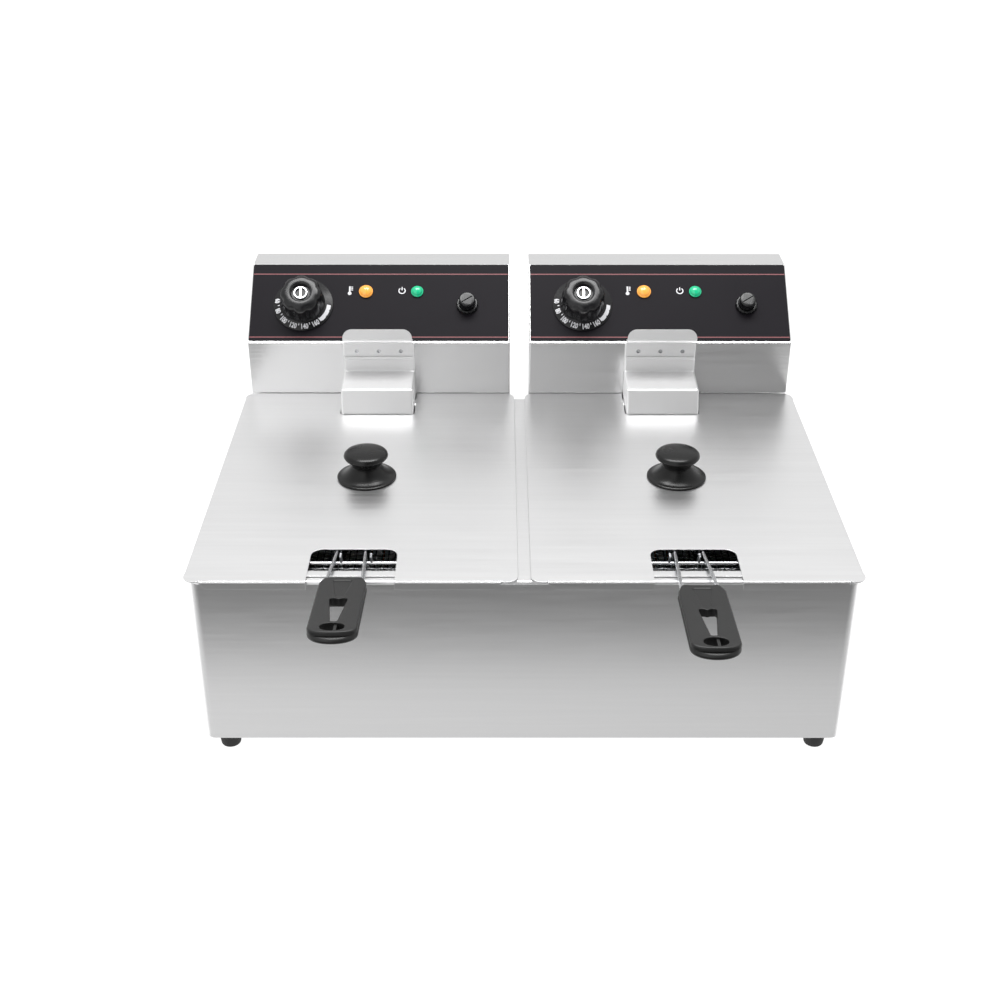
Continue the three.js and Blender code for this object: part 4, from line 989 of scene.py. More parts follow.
def knob_shape():
    """A turned knob: broad foot, hollow cone, neck and a round cap."""
    foot = LID_TOP + CLEAR
    radius = (KNOB_HIGH.x - KNOB_LOW.x) / 2
    height = KNOB_HIGH.z - KNOB_LOW.z
    cone = [(radius - 1.4 - 11.6 * t, 1.9 + 9.2 * t ** 1.7)
            for t in (0, 0.08, 0.2, 0.35, 0.5, 0.65, 0.8, 0.92)]
    neck = [(13.0, 11.6), (13.1, 12.6), (13.7, 14.0), (15.0, 15.8), (17.0, 17.9)]
    cap = [(18.9, 19.6), (19.8, 20.9), (20.0, 21.8), (19.6, 23.2), (18.6, 24.4), (16.6, 25.4), (12, 26.4),
           (6, 26.9), (0, height)]
    profile = [(0, 0), (radius - 0.6, 0), (radius, 0.5), (radius, 1.1), (radius - 0.5, 1.6)]
    profile += cone + neck + cap
    shape = Shape()
    shape.lathe([(r, foot + h) for r, h in profile], 64, (0, (KNOB_LOW.y + KNOB_HIGH.y) / 2))
    return shape


def knob_screw_shape():
    """The knob's pan-head screw and washer, under the lid."""
    low, high = limits("lid_knob_screw_right")
    y = (low.y + high.y) / 2
    seat = low.z + 2
    top = LID_TOP - SHEET - CLEAR
    shape = Shape()
    shape.lathe([(0, low.z), (2.6, low.z), (3.9, low.z + 0.5), (4.5, low.z + 1.5), (4.5, seat), (6.8, seat),
                 (7, seat + 0.2), (7, top - 0.2), (6.8, top), (2.5, top), (2.5, high.z), (0, high.z)],
                32, (0, y))
    return shape


# ---------- Baskets ----------


def basket_edge(across, along_x, inset=0):
    """How far from the middle a floor wire meets the basket's wall, and the wall's normal there."""
    half_x = BASKET_HALF - BASKET_WALL / 2 - inset
    half_y = (BASKET_BACK - BASKET_FRONT - BASKET_WALL) / 2 - inset
    radius = BASKET_CORNER_R - BASKET_WALL / 2 - inset
    reach, limit = (half_x, half_y) if along_x else (half_y, half_x)
    past = abs(across) - (limit - radius)
    if past <= 0:
        return reach, (1.0, 0.0)
    chord = math.sqrt(max(radius ** 2 - past ** 2, 0))
    return reach - radius + chord, (chord / radius, math.copysign(past / radius, across))


def basket_wires(pitch):
    """The floor wires and the places round the wall where they stand up.

    A wire is (along_x, its place across). A place is keyed by the wire and its end, -1 or 1.
    """
    half = {True: (BASKET_BACK - BASKET_FRONT) / 2, False: BASKET_HALF}
    wires = []
    for along_x in (True, False):
        count = int((half[along_x] - FLOOR_MARGIN) / pitch)
        wires += [(along_x, i * pitch, i) for i in range(-count, count + 1)]
    places = []
    for wire in wires:
        along_x, across, _ = wire
        reach, (facing, _) = basket_edge(across, along_x)
        if facing < STANDING:
            continue
        for end in (-1, 1):
            spot = Vector((end * reach, across)) if along_x else Vector((across, end * reach))
            places.append((math.atan2(spot.y, spot.x), wire, end))
    places.sort(key=lambda place: place[0])
    order = {(wire, end): i for i, (_, wire, end) in enumerate(places)}
    return wires, order


def basket_mesh_shape():
    """The woven basket: floor wires that stand up as the walls, and rings round them."""
    wire = bpy.context.scene.fryer_wire
    pitch = wire.mesh_pitch / MM
    radius = wire.mesh_wire / MM / 2
    weave = radius * 0.9
    middle = Vector((0, (BASKET_FRONT + BASKET_BACK) / 2, 0))
    floor_z = BASKET_BASE + 2 * radius
    bend = BASKET_FLOOR_R
    wires, order = basket_wires(pitch)
    ring_count = int((BASKET_RIM_TOP - RIM_WIRE_R - floor_z - bend) / pitch)
    ring_z = [floor_z + bend + pitch * (k + 0.35) for k in range(ring_count)]
    shape = Shape()

    def spot(along_x, along, across, z):
        return middle + (Vector((along, across, z)) if along_x else Vector((across, along, z)))

    for key in wires:
        along_x, across, index = key
        reach, (facing, sideways) = basket_edge(across, along_x)
        stands = facing >= STANDING
        floor_reach = reach - bend if stands else basket_edge(across, along_x, bend)[0]
        halves = []
        for end in (-1, 1):
            path = []
            if stands:
                place = order[(key, end)]
                path.append(spot(along_x, end * reach, across, BASKET_RIM_TOP - RIM_WIRE_R))
                for k in reversed(range(ring_count)):
                    out = weave if (place + k) % 2 else -weave
                    path.append(spot(along_x, end * (reach + out * facing), across + out * sideways,
                                     ring_z[k]))
                for rise, back in quarter(3)[1:]:
                    path.append(spot(along_x, end * (reach - bend * back), across,
                                     floor_z + bend * (1 - rise)))
            else:
                path.append(spot(along_x, end * floor_reach, across, floor_z))
            halves.append(path)
        crossings = int(floor_reach / pitch)
        floor = []
        for i in range(-crossings, crossings + 1):
            up = weave if (i + index + along_x) % 2 else -weave
            floor.append(spot(along_x, i * pitch, across, floor_z + up))
        shape.tube(halves[0] + floor + halves[1][::-1], radius, 4)

    places = sorted(order, key=order.get)
    for k in range(ring_count):
        path = []
        for i, (key, end) in enumerate(places):
            along_x, across, _ = key
            reach, (facing, sideways) = basket_edge(across, along_x)
            out = -weave if (i + k) % 2 else weave
            path.append(spot(along_x, end * (reach + out * facing), across + out * sideways, ring_z[k]))
        shape.tube(path, radius, 4, closed=True)
    return shape


def rod_x(y, side):
    """Half the distance between a handle's rods, which spread towards the grip."""
    part = (ROD_TURN_Y - y) / (ROD_TURN_Y - GRIP_MOUTH_Y[side])
    return (ROD_GAP + ROD_SPREAD * part) / 2


def rod_z(y):
    """Height of the rods' middle over a place along Y."""
    return ROD_OVER_RIM + (RIM_WIRE_Y - y) * ROD_SLOPE


def rod_in_grip(depth, side):
    """The middle of a rod at a depth inside the grip."""
    mouth = GRIP_MOUTH_Y[side]
    y = mouth - depth * math.cos(GRIP_TILT[side])
    return rod_x(y, side), y, rod_z(mouth) + depth * math.sin(GRIP_TILT[side])


def basket_rim_shape(side, outward):
    """The rim wire and the two upright hooks that hold the handle."""
    inset = BASKET_WALL / 2
    plan = round_rect(-BASKET_HALF + inset, BASKET_HALF - inset, BASKET_FRONT + inset, BASKET_BACK - inset,
                      BASKET_CORNER_R - inset, 10)
    middle = BASKET_RIM_TOP - RIM_WIRE_R
    top = BASKET_RIM_TOP + HOOK_RISE
    shape = Shape()
    shape.tube(level(plan, middle), RIM_WIRE_R, 14, closed=True)
    for hand in (-1, 1):
        x = HANDLE_SHIFT - outward * HOOK_SHIFT + hand * rod_x(RIM_WIRE_Y, side)
        shape.lathe([(0, middle), (HOOK_R, middle), (HOOK_R, top - 1), (0.95, top - 0.35),
                     (0.5, top - 0.05), (0, top)], 14, (x, RIM_WIRE_Y))
    return shape


def rods_shape(side):
    """The handle's two rods and the loop that joins them, one bent wire."""
    foot = rod_z(ROD_TURN_Y) - ROD_DROP
    heel = BASKET_FRONT + BASKET_WALL + CLEAR + ROD_R
    reach = rod_x(ROD_TURN_Y, side)
    half = [rod_in_grip(ROD_IN_GRIP, side), rod_in_grip(0, side), (reach, ROD_TURN_Y, rod_z(ROD_TURN_Y)),
            (reach, ROD_TURN_Y, foot), (reach, heel, foot - ROD_BEND_R)]
    whole = [(HANDLE_SHIFT + x, y, z) for x, y, z in half]
    whole += [(HANDLE_SHIFT - x, y, z) for x, y, z in reversed(half)]
    shape = Shape()
    shape.tube(round_path(whole, ROD_BEND_R, 8), ROD_R, 16)
    return shape


GRIP_L = 103
GRIP_HALF_W = 19
GRIP_HALF_T = 4.75
EYE_Y = 12.7 - GRIP_L


def grip_outline(length, tail, power, inset):
    """The grip's plan, from its rod end at y = 0 to its oval tail; a power under 1 squares the oval."""
    turns = [math.pi / 2 * i / 14 for i in range(15)]
    oval = [(GRIP_HALF_W * math.cos(a) ** power, tail - length - tail * math.sin(a) ** power)
            for a in turns]
    mouth = [(GRIP_HALF_W, -60), (GRIP_HALF_W, -11.5), (18.3, -8.4), (16.1, -2.7), (15.1, -0.9),
             (13.7, -0.15), (12, 0), (6, -0.6)]
    points = [(-x, y) for x, y in oval] + oval[-2::-1] + mouth + [(0, -0.8)]
    return offset(points + [(-x, y) for x, y in reversed(mouth)], inset)


def grip_slot():
    """The tapered slot in the grip."""
    half = [(1.2, -81.3), (2.2, -81.0), (2.75, -80.1), (6.9, -43.6), (6.6, -41.7), (5.6, -40.7),
            (4.2, -40.4), (2.4, -40.8), (1.2, -41.7)]
    return half + [(0, -42.1)] + [(-x, y) for x, y in reversed(half)]


def grip_eye():
    """The oval hanging hole near the grip's tail, flatter towards the tail."""
    turns = [2 * math.pi * i / 32 for i in range(32)]
    return [(9.25 * math.cos(a), EYE_Y + 6.5 * math.copysign(abs(math.sin(a)) ** 0.85, math.sin(a)))
            for a in turns]


def grip_shape(side):
    """The moulded grip: a lower body with a lip at its tail, a groove, and a top shell with its recess."""
    lower = (GRIP_L, 14, 1.0)
    upper = (GRIP_L - 2.7, 10, 0.8)
    top, edge, shell = GRIP_HALF_T, 2.6, 0.35
    crown = 1.45
    rows = [(edge * back, edge * (1 - rise) - top, lower) for rise, back in quarter(5)[::-1]]
    rows += [(0, -1.5, lower), (0.12, -0.5, (GRIP_L - 0.5, 13.6, 1.0)),
             (0.35, 0.2, (GRIP_L - 1.4, 12.8, 0.95)), (0.7, 0.6, (GRIP_L - 2.5, 11.2, 0.85)),
             (1.1, 0.7, upper), (1.1, 1.25, upper), (shell, 1.4, upper), (shell, top - crown, upper)]
    rows += [(shell + crown * back, top - crown + crown * rise, upper) for rise, back in quarter(4)[1:]]
    flat = Shape()
    outer = flat.bands([level(grip_outline(*plan, inset), z) for inset, z, plan in rows])
    rim = 0.6
    recess_floor = -2.25

    def hole_walls(hole, low):
        steps = quarter(3)
        rows = [level(offset(hole, -rim * back), top - rim + rim * rise) for rise, back in steps[::-1]]
        rows.append(level(hole, low + rim))
        rows += [level(offset(hole, -rim * back), low + rim * (1 - rise)) for rise, back in steps[1:]]
        return flat.bands(rows)

    slot = hole_walls(grip_slot(), recess_floor)
    eye = hole_walls(grip_eye(), -top)
    under = flat.bands([level(round_rect(-11, 11, -82.5, -36, 3, 4), z) for z in (-top, recess_floor)])
    flat.fill(under[1], slot[-1])
    flat.fill(outer[0], under[0], eye[-1])
    dip = [(-3.8, -37.2), (3.8, -37.2), (8.4, -6), (-8.4, -6)]
    middle = ((dip[0][0] + dip[1][0]) / 2, dip[0][1])
    wedge = round_path([middle, *dip[1:], dip[0], middle], 2.2, 5)[:-1]
    marks = flat.bands([level(wedge, top), level(offset(wedge, 0.35), top - 0.25),
                        level(offset(wedge, 0.9), top - 0.9)])
    flat.face(marks[-1])
    flat.fill(outer[-1], slot[0], eye[0], marks[0])
    bar(flat, 0.9, 3.1, EYE_Y - 7.6, EYE_Y + 7.6, 1.5 - top, top - 1.5)
    mouth = GRIP_MOUTH_Y[side]
    return placed(flat, Matrix.Translation((HANDLE_SHIFT, mouth, rod_z(mouth)))
                  @ Matrix.Rotation(-GRIP_TILT[side], 4, "X"))


# ---------- Heads ----------


def covered(shape, path, closing, half, bend, first=0):
    """A cover bent along a (y, z) path with rounded side edges and side walls.

    The inside lies to the left of the path. The walls start at the path's point number first, and their
    outline is completed by the closing points.
    """
    rows = []
    steps = quarter(4)
    for side in (-1, 1):
        turns = steps[::-1] if side < 0 else steps
        for rise, back in turns:
            line = offset(path, bend * back, closed=False)
            rows.append([(side * (half - bend * (1 - rise)), y, z) for y, z in line])
    corners = shape.bands(rows, closed=False)
    for side, row in ((-1, corners[0]), (1, corners[-1])):
        ends = shape.ring([(side * half, y, z) for y, z in closing])
        shape.face(row[first:] + ends)


def head_shape():
    """Face, sloped panel, top and sides, folded from one sheet."""
    corners = [(HEAD_BACK, HEAD_TOP), (PANEL_HEAD_Y, HEAD_TOP), (FACE_Y, PANEL_FOOT_Z), (FACE_Y, HEAD_BASE)]
    path = round_path(corners, HEAD_BEND_R, 4)
    shape = Shape()
    covered(shape, path, [(HEAD_BACK, HEAD_BASE)], HEAD_HALF, HEAD_BEND_R)
    return shape


def back_cover_shape():
    """Back and underside of a head, with its vents and the gland's hole."""
    half = HEAD_HALF - SHEET - CLEAR
    front = FACE_Y + SHEET + CLEAR
    top = HEAD_TOP - SHEET - CLEAR
    bend = 3
    shape = Shape()
    path = [Vector((HEAD_BACK - bend + bend * rise, HEAD_BASE + bend * back)) for rise, back in quarter(5)]
    rows = shape.bands([[(-half, y, z), (half, y, z)] for y, z in path], closed=False)
    gland = shape.ring(level(arc(GLAND_PLACE, GLAND_HOLE_R, 0, 345, 23), HEAD_BASE))
    under = shape.ring([(half, front, HEAD_BASE), (-half, front, HEAD_BASE)])
    shape.fill([*rows[0], *under], gland)
    upper = shape.ring([(half, HEAD_BACK, top), (-half, HEAD_BACK, top)])
    vents = []
    for side in (-1, 1):
        for i in range(6):
            middle = side * VENT_X
            z = HEAD_BASE + VENTS_FROM + VENT_PITCH * i
            slot = round_rect(middle - VENT_HALF, middle + VENT_HALF, z, z + VENT_H, 1.9, 4)
            vents.append(shape.ring([(x, HEAD_BACK, height) for x, height in slot]))
    shape.fill([*rows[-1], *upper], *vents)
    return shape


def shroud_shape():
    """The element's cover: a riser on the head's face, a step forward, a slanted front and a wall below."""
    half = SHEET / 2
    riser = FACE_Y - CLEAR - half
    step = SHROUD_TOP - half
    front = SHROUD_FRONT + half
    corners = [(riser, RISER_TOP), (riser, step), (FACE_Y - SHROUD_STEP_L, step - SHROUD_STEP_FALL),
               (front, SHROUD_KNEE_Z), (front, SHROUD_FOOT)]
    path = offset(round_path(corners, SHROUD_RADII, 8), -half, closed=False)
    foot = LID_TOP - SHEET + CLEAR
    closing = [(SHROUD_BACK, SHROUD_FOOT), (SHROUD_BACK, foot), (riser - half, foot)]
    shape = Shape()
    covered(shape, path, closing, SHROUD_HALF, SHROUD_SIDE_R, first=9)
    return shape


def hanger_shape():
    """The lip plate on the riser, with a hem along its foot; the lip's upper corners are round."""
    low, high = limits("basket_hanger_right")
    plate = high.y - STRIP / 2
    lip = low.y + STRIP / 2
    ledge = DECK_Z + LEDGE_H
    half = high.x - STATION_X
    corner = 9
    top = high.z
    turns = quarter(7)
    foot = low.z + STRIP / 2
    hem = plate - STRIP - 0.2
    corners = [(hem, foot + HEM_H), (hem, foot), (plate, foot), (plate, ledge), (lip, ledge),
               (lip + LIP_LEAN, top)]
    path = round_path(corners, (0.69, 0.69, 2.5, LIP_FOOT_R), 6)
    end = path.pop()
    before = path[-1]
    away = (before - end).normalized()
    shape = Shape()
    rows = [[(-half, y, z), (half, y, z)] for y, z in path]
    for rise, back in turns:
        y, z = end + away * (corner * (1 - rise))
        reach = half - corner * back
        rows.append([(-reach, y, z), (reach, y, z)])
    shape.bands(rows, closed=False)
    return shape


def weld_marks_shape():
    """Three spot welds on the hanger's plate."""
    low, high = limits("basket_hanger_right")
    shape = Shape()
    for i in (-1, 0, 1):
        dot = Shape()
        dot.lathe([(2.2, -0.1), (2.0, 0.12), (1.4, 0.16), (0.9, 0.05), (0, 0.02)], 20)
        place = Matrix.Translation((WELD_PITCH * i, high.y - STRIP, low.z + WELD_RISE))
        shape.add(dot, place @ Matrix.Rotation(math.pi / 2, 4, "X"))
    return shape


def element_shape():
    """The bent heating tube."""
    low, high = limits("heating_element_right")
    outer = high.x - STATION_X - ELEMENT_R
    z = low.z + ELEMENT_R
    leg_top = high.z - ELEMENT_R
    front = low.y + ELEMENT_R
    rear = LEG_Y - ELEMENT_SETBACK
    leg, inner = ELEMENT_LEG_X, ELEMENT_LOOP_X
    half = [(leg, high.y, leg_top), (leg, LEG_Y, leg_top), (leg, LEG_Y, z), (outer, LEG_Y, z),
            (outer, front, z), (inner, front, z), (inner, rear, z)]
    whole = half + [(-x, y, height) for x, y, height in reversed(half)]
    shape = Shape()
    shape.tube(round_path(whole, ELEMENT_BEND_R, 8), ELEMENT_R, 18)
    return shape


# ---------- Controls ----------


def film_shape():
    """The printed film on the sloped panel."""
    half = HEAD_HALF - FILM_SIDE
    flat = Shape()
    outline = round_rect(-half, half, FILM_FOOT, PANEL_L - FILM_HEAD, 1, 3)
    flat.prism(outline, CLEAR, FILM_W)
    return placed(flat, PANEL)


def bar(shape, x0, x1, y0, y1, z0, z1):
    """A thin printed bar."""
    shape.prism([(x0, y0), (x1, y0), (x1, y1), (x0, y1)], z0, z1)


INK_LOW = FILM_W - 0.05
INK_HIGH = FILM_W + 0.04
BORDER_LINES_V = (6.5, 78.9)
BORDER_LINE_HALF = 0.55
THERMOMETER_PLACE = (-31, 59.8)
POWER_SIGN_PLACE = (21.9, 59.6)


def border_lines_shape():
    """The two thin lines along the film."""
    half = HEAD_HALF - FILM_SIDE - 0.5
    flat = Shape()
    for v in BORDER_LINES_V:
        bar(flat, -half, half, v - BORDER_LINE_HALF, v + BORDER_LINE_HALF, INK_LOW, INK_HIGH)
    return placed(flat, PANEL)


def signs_shape():
    """A plain thermometer beside the heating lamp and a plain power sign beside the other."""
    flat = Shape()
    u, v = THERMOMETER_PLACE
    flat.prism(arc((u, v - 3.2), 1.9, 0, 340, 17), INK_LOW, INK_HIGH)
    bar(flat, u - 0.8, u + 0.8, v - 2, v + 4.8, INK_LOW, INK_HIGH)
    for rise in (0.2, 1.9, 3.6):
        bar(flat, u + 1.4, u + 3.2, v + rise, v + rise + 0.9, INK_LOW, INK_HIGH)
    u, v = POWER_SIGN_PLACE
    ring = arc((u, v), 3.7, 125, 415, 24) + arc((u, v), 2.7, 415, 125, 24)
    flat.prism(ring, INK_LOW, INK_HIGH)
    bar(flat, u - 0.5, u + 0.5, v + 0.6, v + 4.2, INK_LOW, INK_HIGH)
    return placed(flat, PANEL)


DIAL_U = -77
DIAL_V = 43.2
SKIRT_R = 30
SKIRT_TOP = ON_FILM + 4
DIAL_TOP = ON_FILM + 26
LOBES = 8
DIAL_PLACE = PANEL @ Matrix.Translation((DIAL_U, DIAL_V, 0))


def dial_shape():
    """Skirt and fluted grip of the thermostat dial, with a broad shoulder and a round recess in its top."""
    base = ON_FILM
    dial = Shape()
    skirt = [(0, base), (SKIRT_R - 1, base), (SKIRT_R - 0.3, base + 0.25), (SKIRT_R, base + 0.9),
             (SKIRT_R - 0.5, base + 1.3)]
    wall = [(22.3, SKIRT_TOP - 0.2), (21.9, SKIRT_TOP + 0.4), (21.7, SKIRT_TOP + 4), (21.3, SKIRT_TOP + 11),
            (21.05, DIAL_TOP - 6.5)]
    shoulder = [(20.9, -5), (20.4, -3.6), (19.5, -2.2), (18.2, -1.1), (16.8, -0.45), (15, -0.1), (13, 0),
                (11.4, 0), (10.6, -0.3), (9.8, -1.0), (9.2, -2.0), (9.0, -3.4), (0, -3.6)]

    def fluted(radius, height, angle):
        if height < SKIRT_TOP - 0.2:
            return radius
        depth = 1.5 * min(1, (height - SKIRT_TOP + 0.2) / 2) * min(1, max(0, (radius - 14.5) / 5))
        return radius - depth * (0.5 - 0.5 * math.cos(LOBES * angle)) ** 2

    profile = skirt + wall + [(radius, DIAL_TOP + drop) for radius, drop in shoulder]
    dial.lathe(profile, 160, radius_at=fluted)
    return placed(dial, DIAL_PLACE)


def emblem_shape():
    """The plain silver ring with an upright bar in the dial's recess."""
    floor = DIAL_TOP - 3.7
    disc = Shape()
    disc.lathe([(5.4, floor), (5.4, floor + 1.9), (5.7, floor + 2.2), (6.6, floor + 2.2),
                (6.9, floor + 1.9), (6.9, floor), (5.4, floor)], 40)
    disc.prism([(-1, -5.5), (1, -5.5), (1, 5.5), (-1, 5.5)], floor, floor + 1.9)
    return placed(disc, DIAL_PLACE)


def text_mesh(text, size, narrow):
    """Digits as a mesh, in millimetres, centred and made narrower by a factor."""
    curve = bpy.data.curves.new("digits", "FONT")
    curve.body = text
    curve.size = size
    curve.extrude = 0.06
    curve.offset = 0.2
    curve.resolution_u = 3
    curve.align_x = "CENTER"
    curve.align_y = "CENTER"
    carrier = bpy.data.objects.new("digits", curve)
    data = bpy.data.meshes.new_from_object(carrier)
    data.transform(Matrix.Diagonal((narrow, 1, 1, 1)))
    bpy.data.objects.remove(carrier)
    bpy.data.curves.remove(curve)
    return data


def dial_print_shape():
    """Numbers and ticks on the skirt's slope, and the white arc of the hottest settings."""
    size = bpy.context.scene.fryer_panel.digit_height / MM / 0.72
    fall = (SKIRT_TOP - 0.2 - (ON_FILM + 1.3)) / (SKIRT_R - 0.5 - 22.5)
    slope = math.atan(fall)
    printed = Shape()

    def on_skirt(turn, radius):
        angle = math.radians(turn)
        out = Vector((math.cos(angle), math.sin(angle), 0))
        right = Vector((-out.y, out.x, 0))
        up = -out * math.cos(slope) + Vector((0, 0, math.sin(slope)))
        normal = right.cross(up)
        height = ON_FILM + 1.3 + (SKIRT_R - 0.5 - radius) * fall
        place = Matrix((right, up, normal)).transposed().to_4x4()
        place.translation = out * radius + Vector((0, 0, height))
        return place

    first, step = 173.5, 25.5
    for i in range(6):
        turn = first + step * i
        printed.add(text_mesh(str(60 + 20 * i), size, 0.72), on_skirt(turn, 26.3))
        tick = Shape()
        bar(tick, -0.4, 0.4, -1.1, 1.1, -0.1, 0.06)
        printed.add(tick, on_skirt(turn + step / 2, 24.4))
    arc_from, arc_step = 315, 3.6
    for i in range(12):
        patch = Shape()
        half = 0.8 if i % 3 == 2 else 0.9
        bar(patch, -half, half, -1.9 if i % 4 else -1.3, 2.1, -0.1, 0.06)
        printed.add(patch, on_skirt(arc_from + arc_step * i, 26.2))
    return placed(printed, DIAL_PLACE)


LAMP_V = 58.3
AMBER_LAMP = (-14.5, 7)  # place along the panel, radius
GREEN_LAMP = (37.3, 6.2)


def lamp_shape(u, radius):
    """A lamp's domed lens with a stepped collar, and its body through the panel."""
    base = ON_FILM
    collar = base + 1.6
    dome = [(radius * 0.86 * math.cos(a), collar + 0.2 + 3.2 * math.sin(a))
            for a in (math.pi / 2 * i / 7 for i in range(7))]
    lamp = Shape()
    foot = base - 23.1
    lamp.lathe([(0, foot), (4.8, foot), (4.8, base), (radius - 0.2, base), (radius, base + 0.2),
                (radius, collar - 0.4), (radius - 0.4, collar)] + dome + [(0, base + 5)], 36)
    return placed(lamp, PANEL @ Matrix.Translation((u, LAMP_V, 0)))


RESET_U = 88
RESET_V = 43
RESET_PLACE = PANEL @ Matrix.Translation((RESET_U, RESET_V, 0))


def reset_nut_shape():
    """The collar round the reset button, with notches for fingers."""
    top = ON_FILM + 3.4
    web = ON_FILM + 1.2

    def notched(radius, height, angle):
        return radius - (0.5 if radius > 10 and math.cos(16 * angle) < -0.3 else 0)

    nut = Shape()
    nut.lathe([(5, ON_FILM), (10.8, ON_FILM), (11, ON_FILM + 0.3), (11, top - 0.9), (10.4, top - 0.2),
               (9.8, top), (8.8, top), (8.5, top - 0.3), (8.5, web), (5, web), (5, ON_FILM)],
              96, radius_at=notched)
    return placed(nut, RESET_PLACE)


def reset_button_shape():
    """The slotted push cap and its stem."""
    under = ON_FILM + 1.2 + CLEAR + 2.5
    top = under + 8.5
    cap = Shape()
    rows = cap.lathe([(0, -7.2), (1.9, -7.2), (2, -7), (2, under), (7.8, under), (8.2, under + 0.4),
                      (8.1, top - 1.7), (7.9, top - 0.8), (7.4, top - 0.2), (6.9, top)], 48)
    turn = Matrix.Rotation(math.radians(33), 2)
    slot = [turn @ Vector(point) for point in round_rect(-6.3, 6.3, -0.6, 0.6, 0.4, 2)]
    walls = cap.bands([level(slot, top), level(slot, top - 1.2)])
    cap.fill(rows[-1], walls[0])
    cap.face(walls[1])
    return placed(cap, RESET_PLACE)


def gland_shape():
    """The cord gland under a head: hexagon, dome nut and thread, with an open bore."""
    seat = HEAD_BASE - CLEAR
    low = seat - 5
    end = low - 12

    def hexagon(radius, height, angle):
        if radius < 10:
            return radius
        return min(radius, 10.1 / math.cos((angle + math.pi / 6) % (math.pi / 3) - math.pi / 6))

    shape = Shape()
    shape.lathe([(4, end), (5.6, end), (6.4, end + 0.8), (7.6, end + 6), (8.2, low - 1), (8.2, low),
                 (10.6, low), (11.5, low + 0.9), (11.5, seat - 0.9), (10.6, seat), (7.5, seat),
                 (7.5, HEAD_BASE + 5), (4, HEAD_BASE + 5), (4, end)], 60, GLAND_PLACE, hexagon)
    return shape


# ---------- Operators ----------


def surroundings(brightness):
    """The studio's white surroundings, darker in front, above all to the right of the middle."""
    graph = Graph("surroundings", bpy.data.worlds.new("surroundings"))
    direction = graph.add("ShaderNodeTexCoord", {}, {}, "Generated")
    x, y, _ = graph.split(direction)
    front = graph.ramp(x * 0.5 + 0.5, FRONT_STOPS)
    share_front = graph.ramp(y * -0.5 + 0.5, [(0.6, 0.0), (0.85, 1.0)])
    colour = graph.mixed(share_front, (1, 1, 1, 1), front)
    return graph.closed(graph.add("ShaderNodeBackground", {}, {"Color": colour, "Strength": brightness}),
                        "ShaderNodeOutputWorld")


class FRYER_OT_stage(bpy.types.Operator):
    """Sets up the floor, the light and the camera"""

    bl_idname = "fryer.stage"
    bl_label = "Stage"

    def execute(self, context):
        studio = context.scene.fryer_studio
        camera = bpy.data.objects.new("camera", bpy.data.cameras.new("camera"))
        camera.data.lens = CAMERA_LENS
        camera.data.sensor_width = CAMERA_SENSOR
        turn = Matrix.Rotation(math.radians(CAMERA_YAW), 4, "Z")
        tilt = Matrix.Rotation(math.radians(CAMERA_PITCH), 4, "X")
        roll = Matrix.Rotation(math.radians(CAMERA_ROLL), 4, "Z")
        place = MM * (Vector(CAMERA_PLACE) + Vector((0, FRONT, 0)))
        camera.matrix_world = Matrix.Translation(place) @ turn @ tilt @ roll
        context.scene.collection.objects.link(camera)
        context.scene.camera = camera
        context.scene.view_settings.view_transform = "Standard"

        floor = Shape()
        floor.face(floor.ring(level(arc((0, 0), FLOOR_REACH, 0, 354, 59), 0)))
        ground = flat_object("floor", floor, Matrix.Identity(4))
        ground.data.materials.append(material("floor_paint"))

        card = Shape()
        reach = CARD_REACH / MM
        corners = [(-reach, -reach), (reach, -reach), (reach, CARD_GAP), (-reach, CARD_GAP)]
        card.face(card.ring(level(corners, CARD_Z)))
        mirrored = flat_object("table_reflection", card, Matrix.Identity(4))
        mirrored.data.materials.append(material("table_reflection"))
        for rays in ("camera", "diffuse", "shadow", "transmission"):
            setattr(mirrored, f"visible_{rays}", False)

        context.scene.world = surroundings(studio.world)

        light = bpy.data.lights.new("overhead", "AREA")
        light.shape = "RECTANGLE"
        light.size, light.size_y = LIGHT_SIZE
        light.energy = studio.overhead
        lamp = bpy.data.objects.new("overhead", light)
        lamp.location = LIGHT_PLACE
        context.scene.collection.objects.link(lamp)
        return {"FINISHED"}


class FRYER_OT_casing(bpy.types.Operator):
    """Builds the outer casing and finishes its bottom plate"""

    bl_idname = "fryer.casing"
    bl_label = "Casing"

    def execute(self, context):
        add_piece("casing_sheet", casing_shape(), "brushed_steel", "casing", "stainless", "outer_casing",
                  sheet=SHEET)
        give_finish(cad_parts["bottom_plate"], "brushed_steel")
        return {"FINISHED"}


class FRYER_OT_feet(bpy.types.Operator):
    """Builds the four rubber feet"""

    bl_idname = "fryer.feet"
    bl_label = "Feet"

    def execute(self, context):
        for foot in (f"foot_{end}_{side}" for end in ("front", "rear") for side in SIDES):
            low, high = limits(foot)
            shape = foot_shape((low.x + high.x) / 2, (low.y + high.y) / 2)
            add_piece(f"rubber_{foot}", shape, "rubber", "casing", "rubber", foot)
        return {"FINISHED"}


class FRYER_OT_tanks(bpy.types.Operator):
    """Builds the two oil tanks"""

    bl_idname = "fryer.tanks"
    bl_label = "Oil tanks"

    def execute(self, context):
        for side in SIDES:
            add_to(side, "tank_pan", tank_shape(), "brushed_steel", "tank", "stainless", "oil_tank",
                   sheet=SHEET)
        return {"FINISHED"}


class FRYER_OT_lids(bpy.types.Operator):
    """Builds the two lids"""

    bl_idname = "fryer.lids"
    bl_label = "Lids"

    def execute(self, context):
        for side, outward in SIDES.items():
            add_to(side, "lid_sheet", lid_shape(outward), "brushed_steel", "lid", "stainless", "lid",
                   sheet=SHEET)
        return {"FINISHED"}


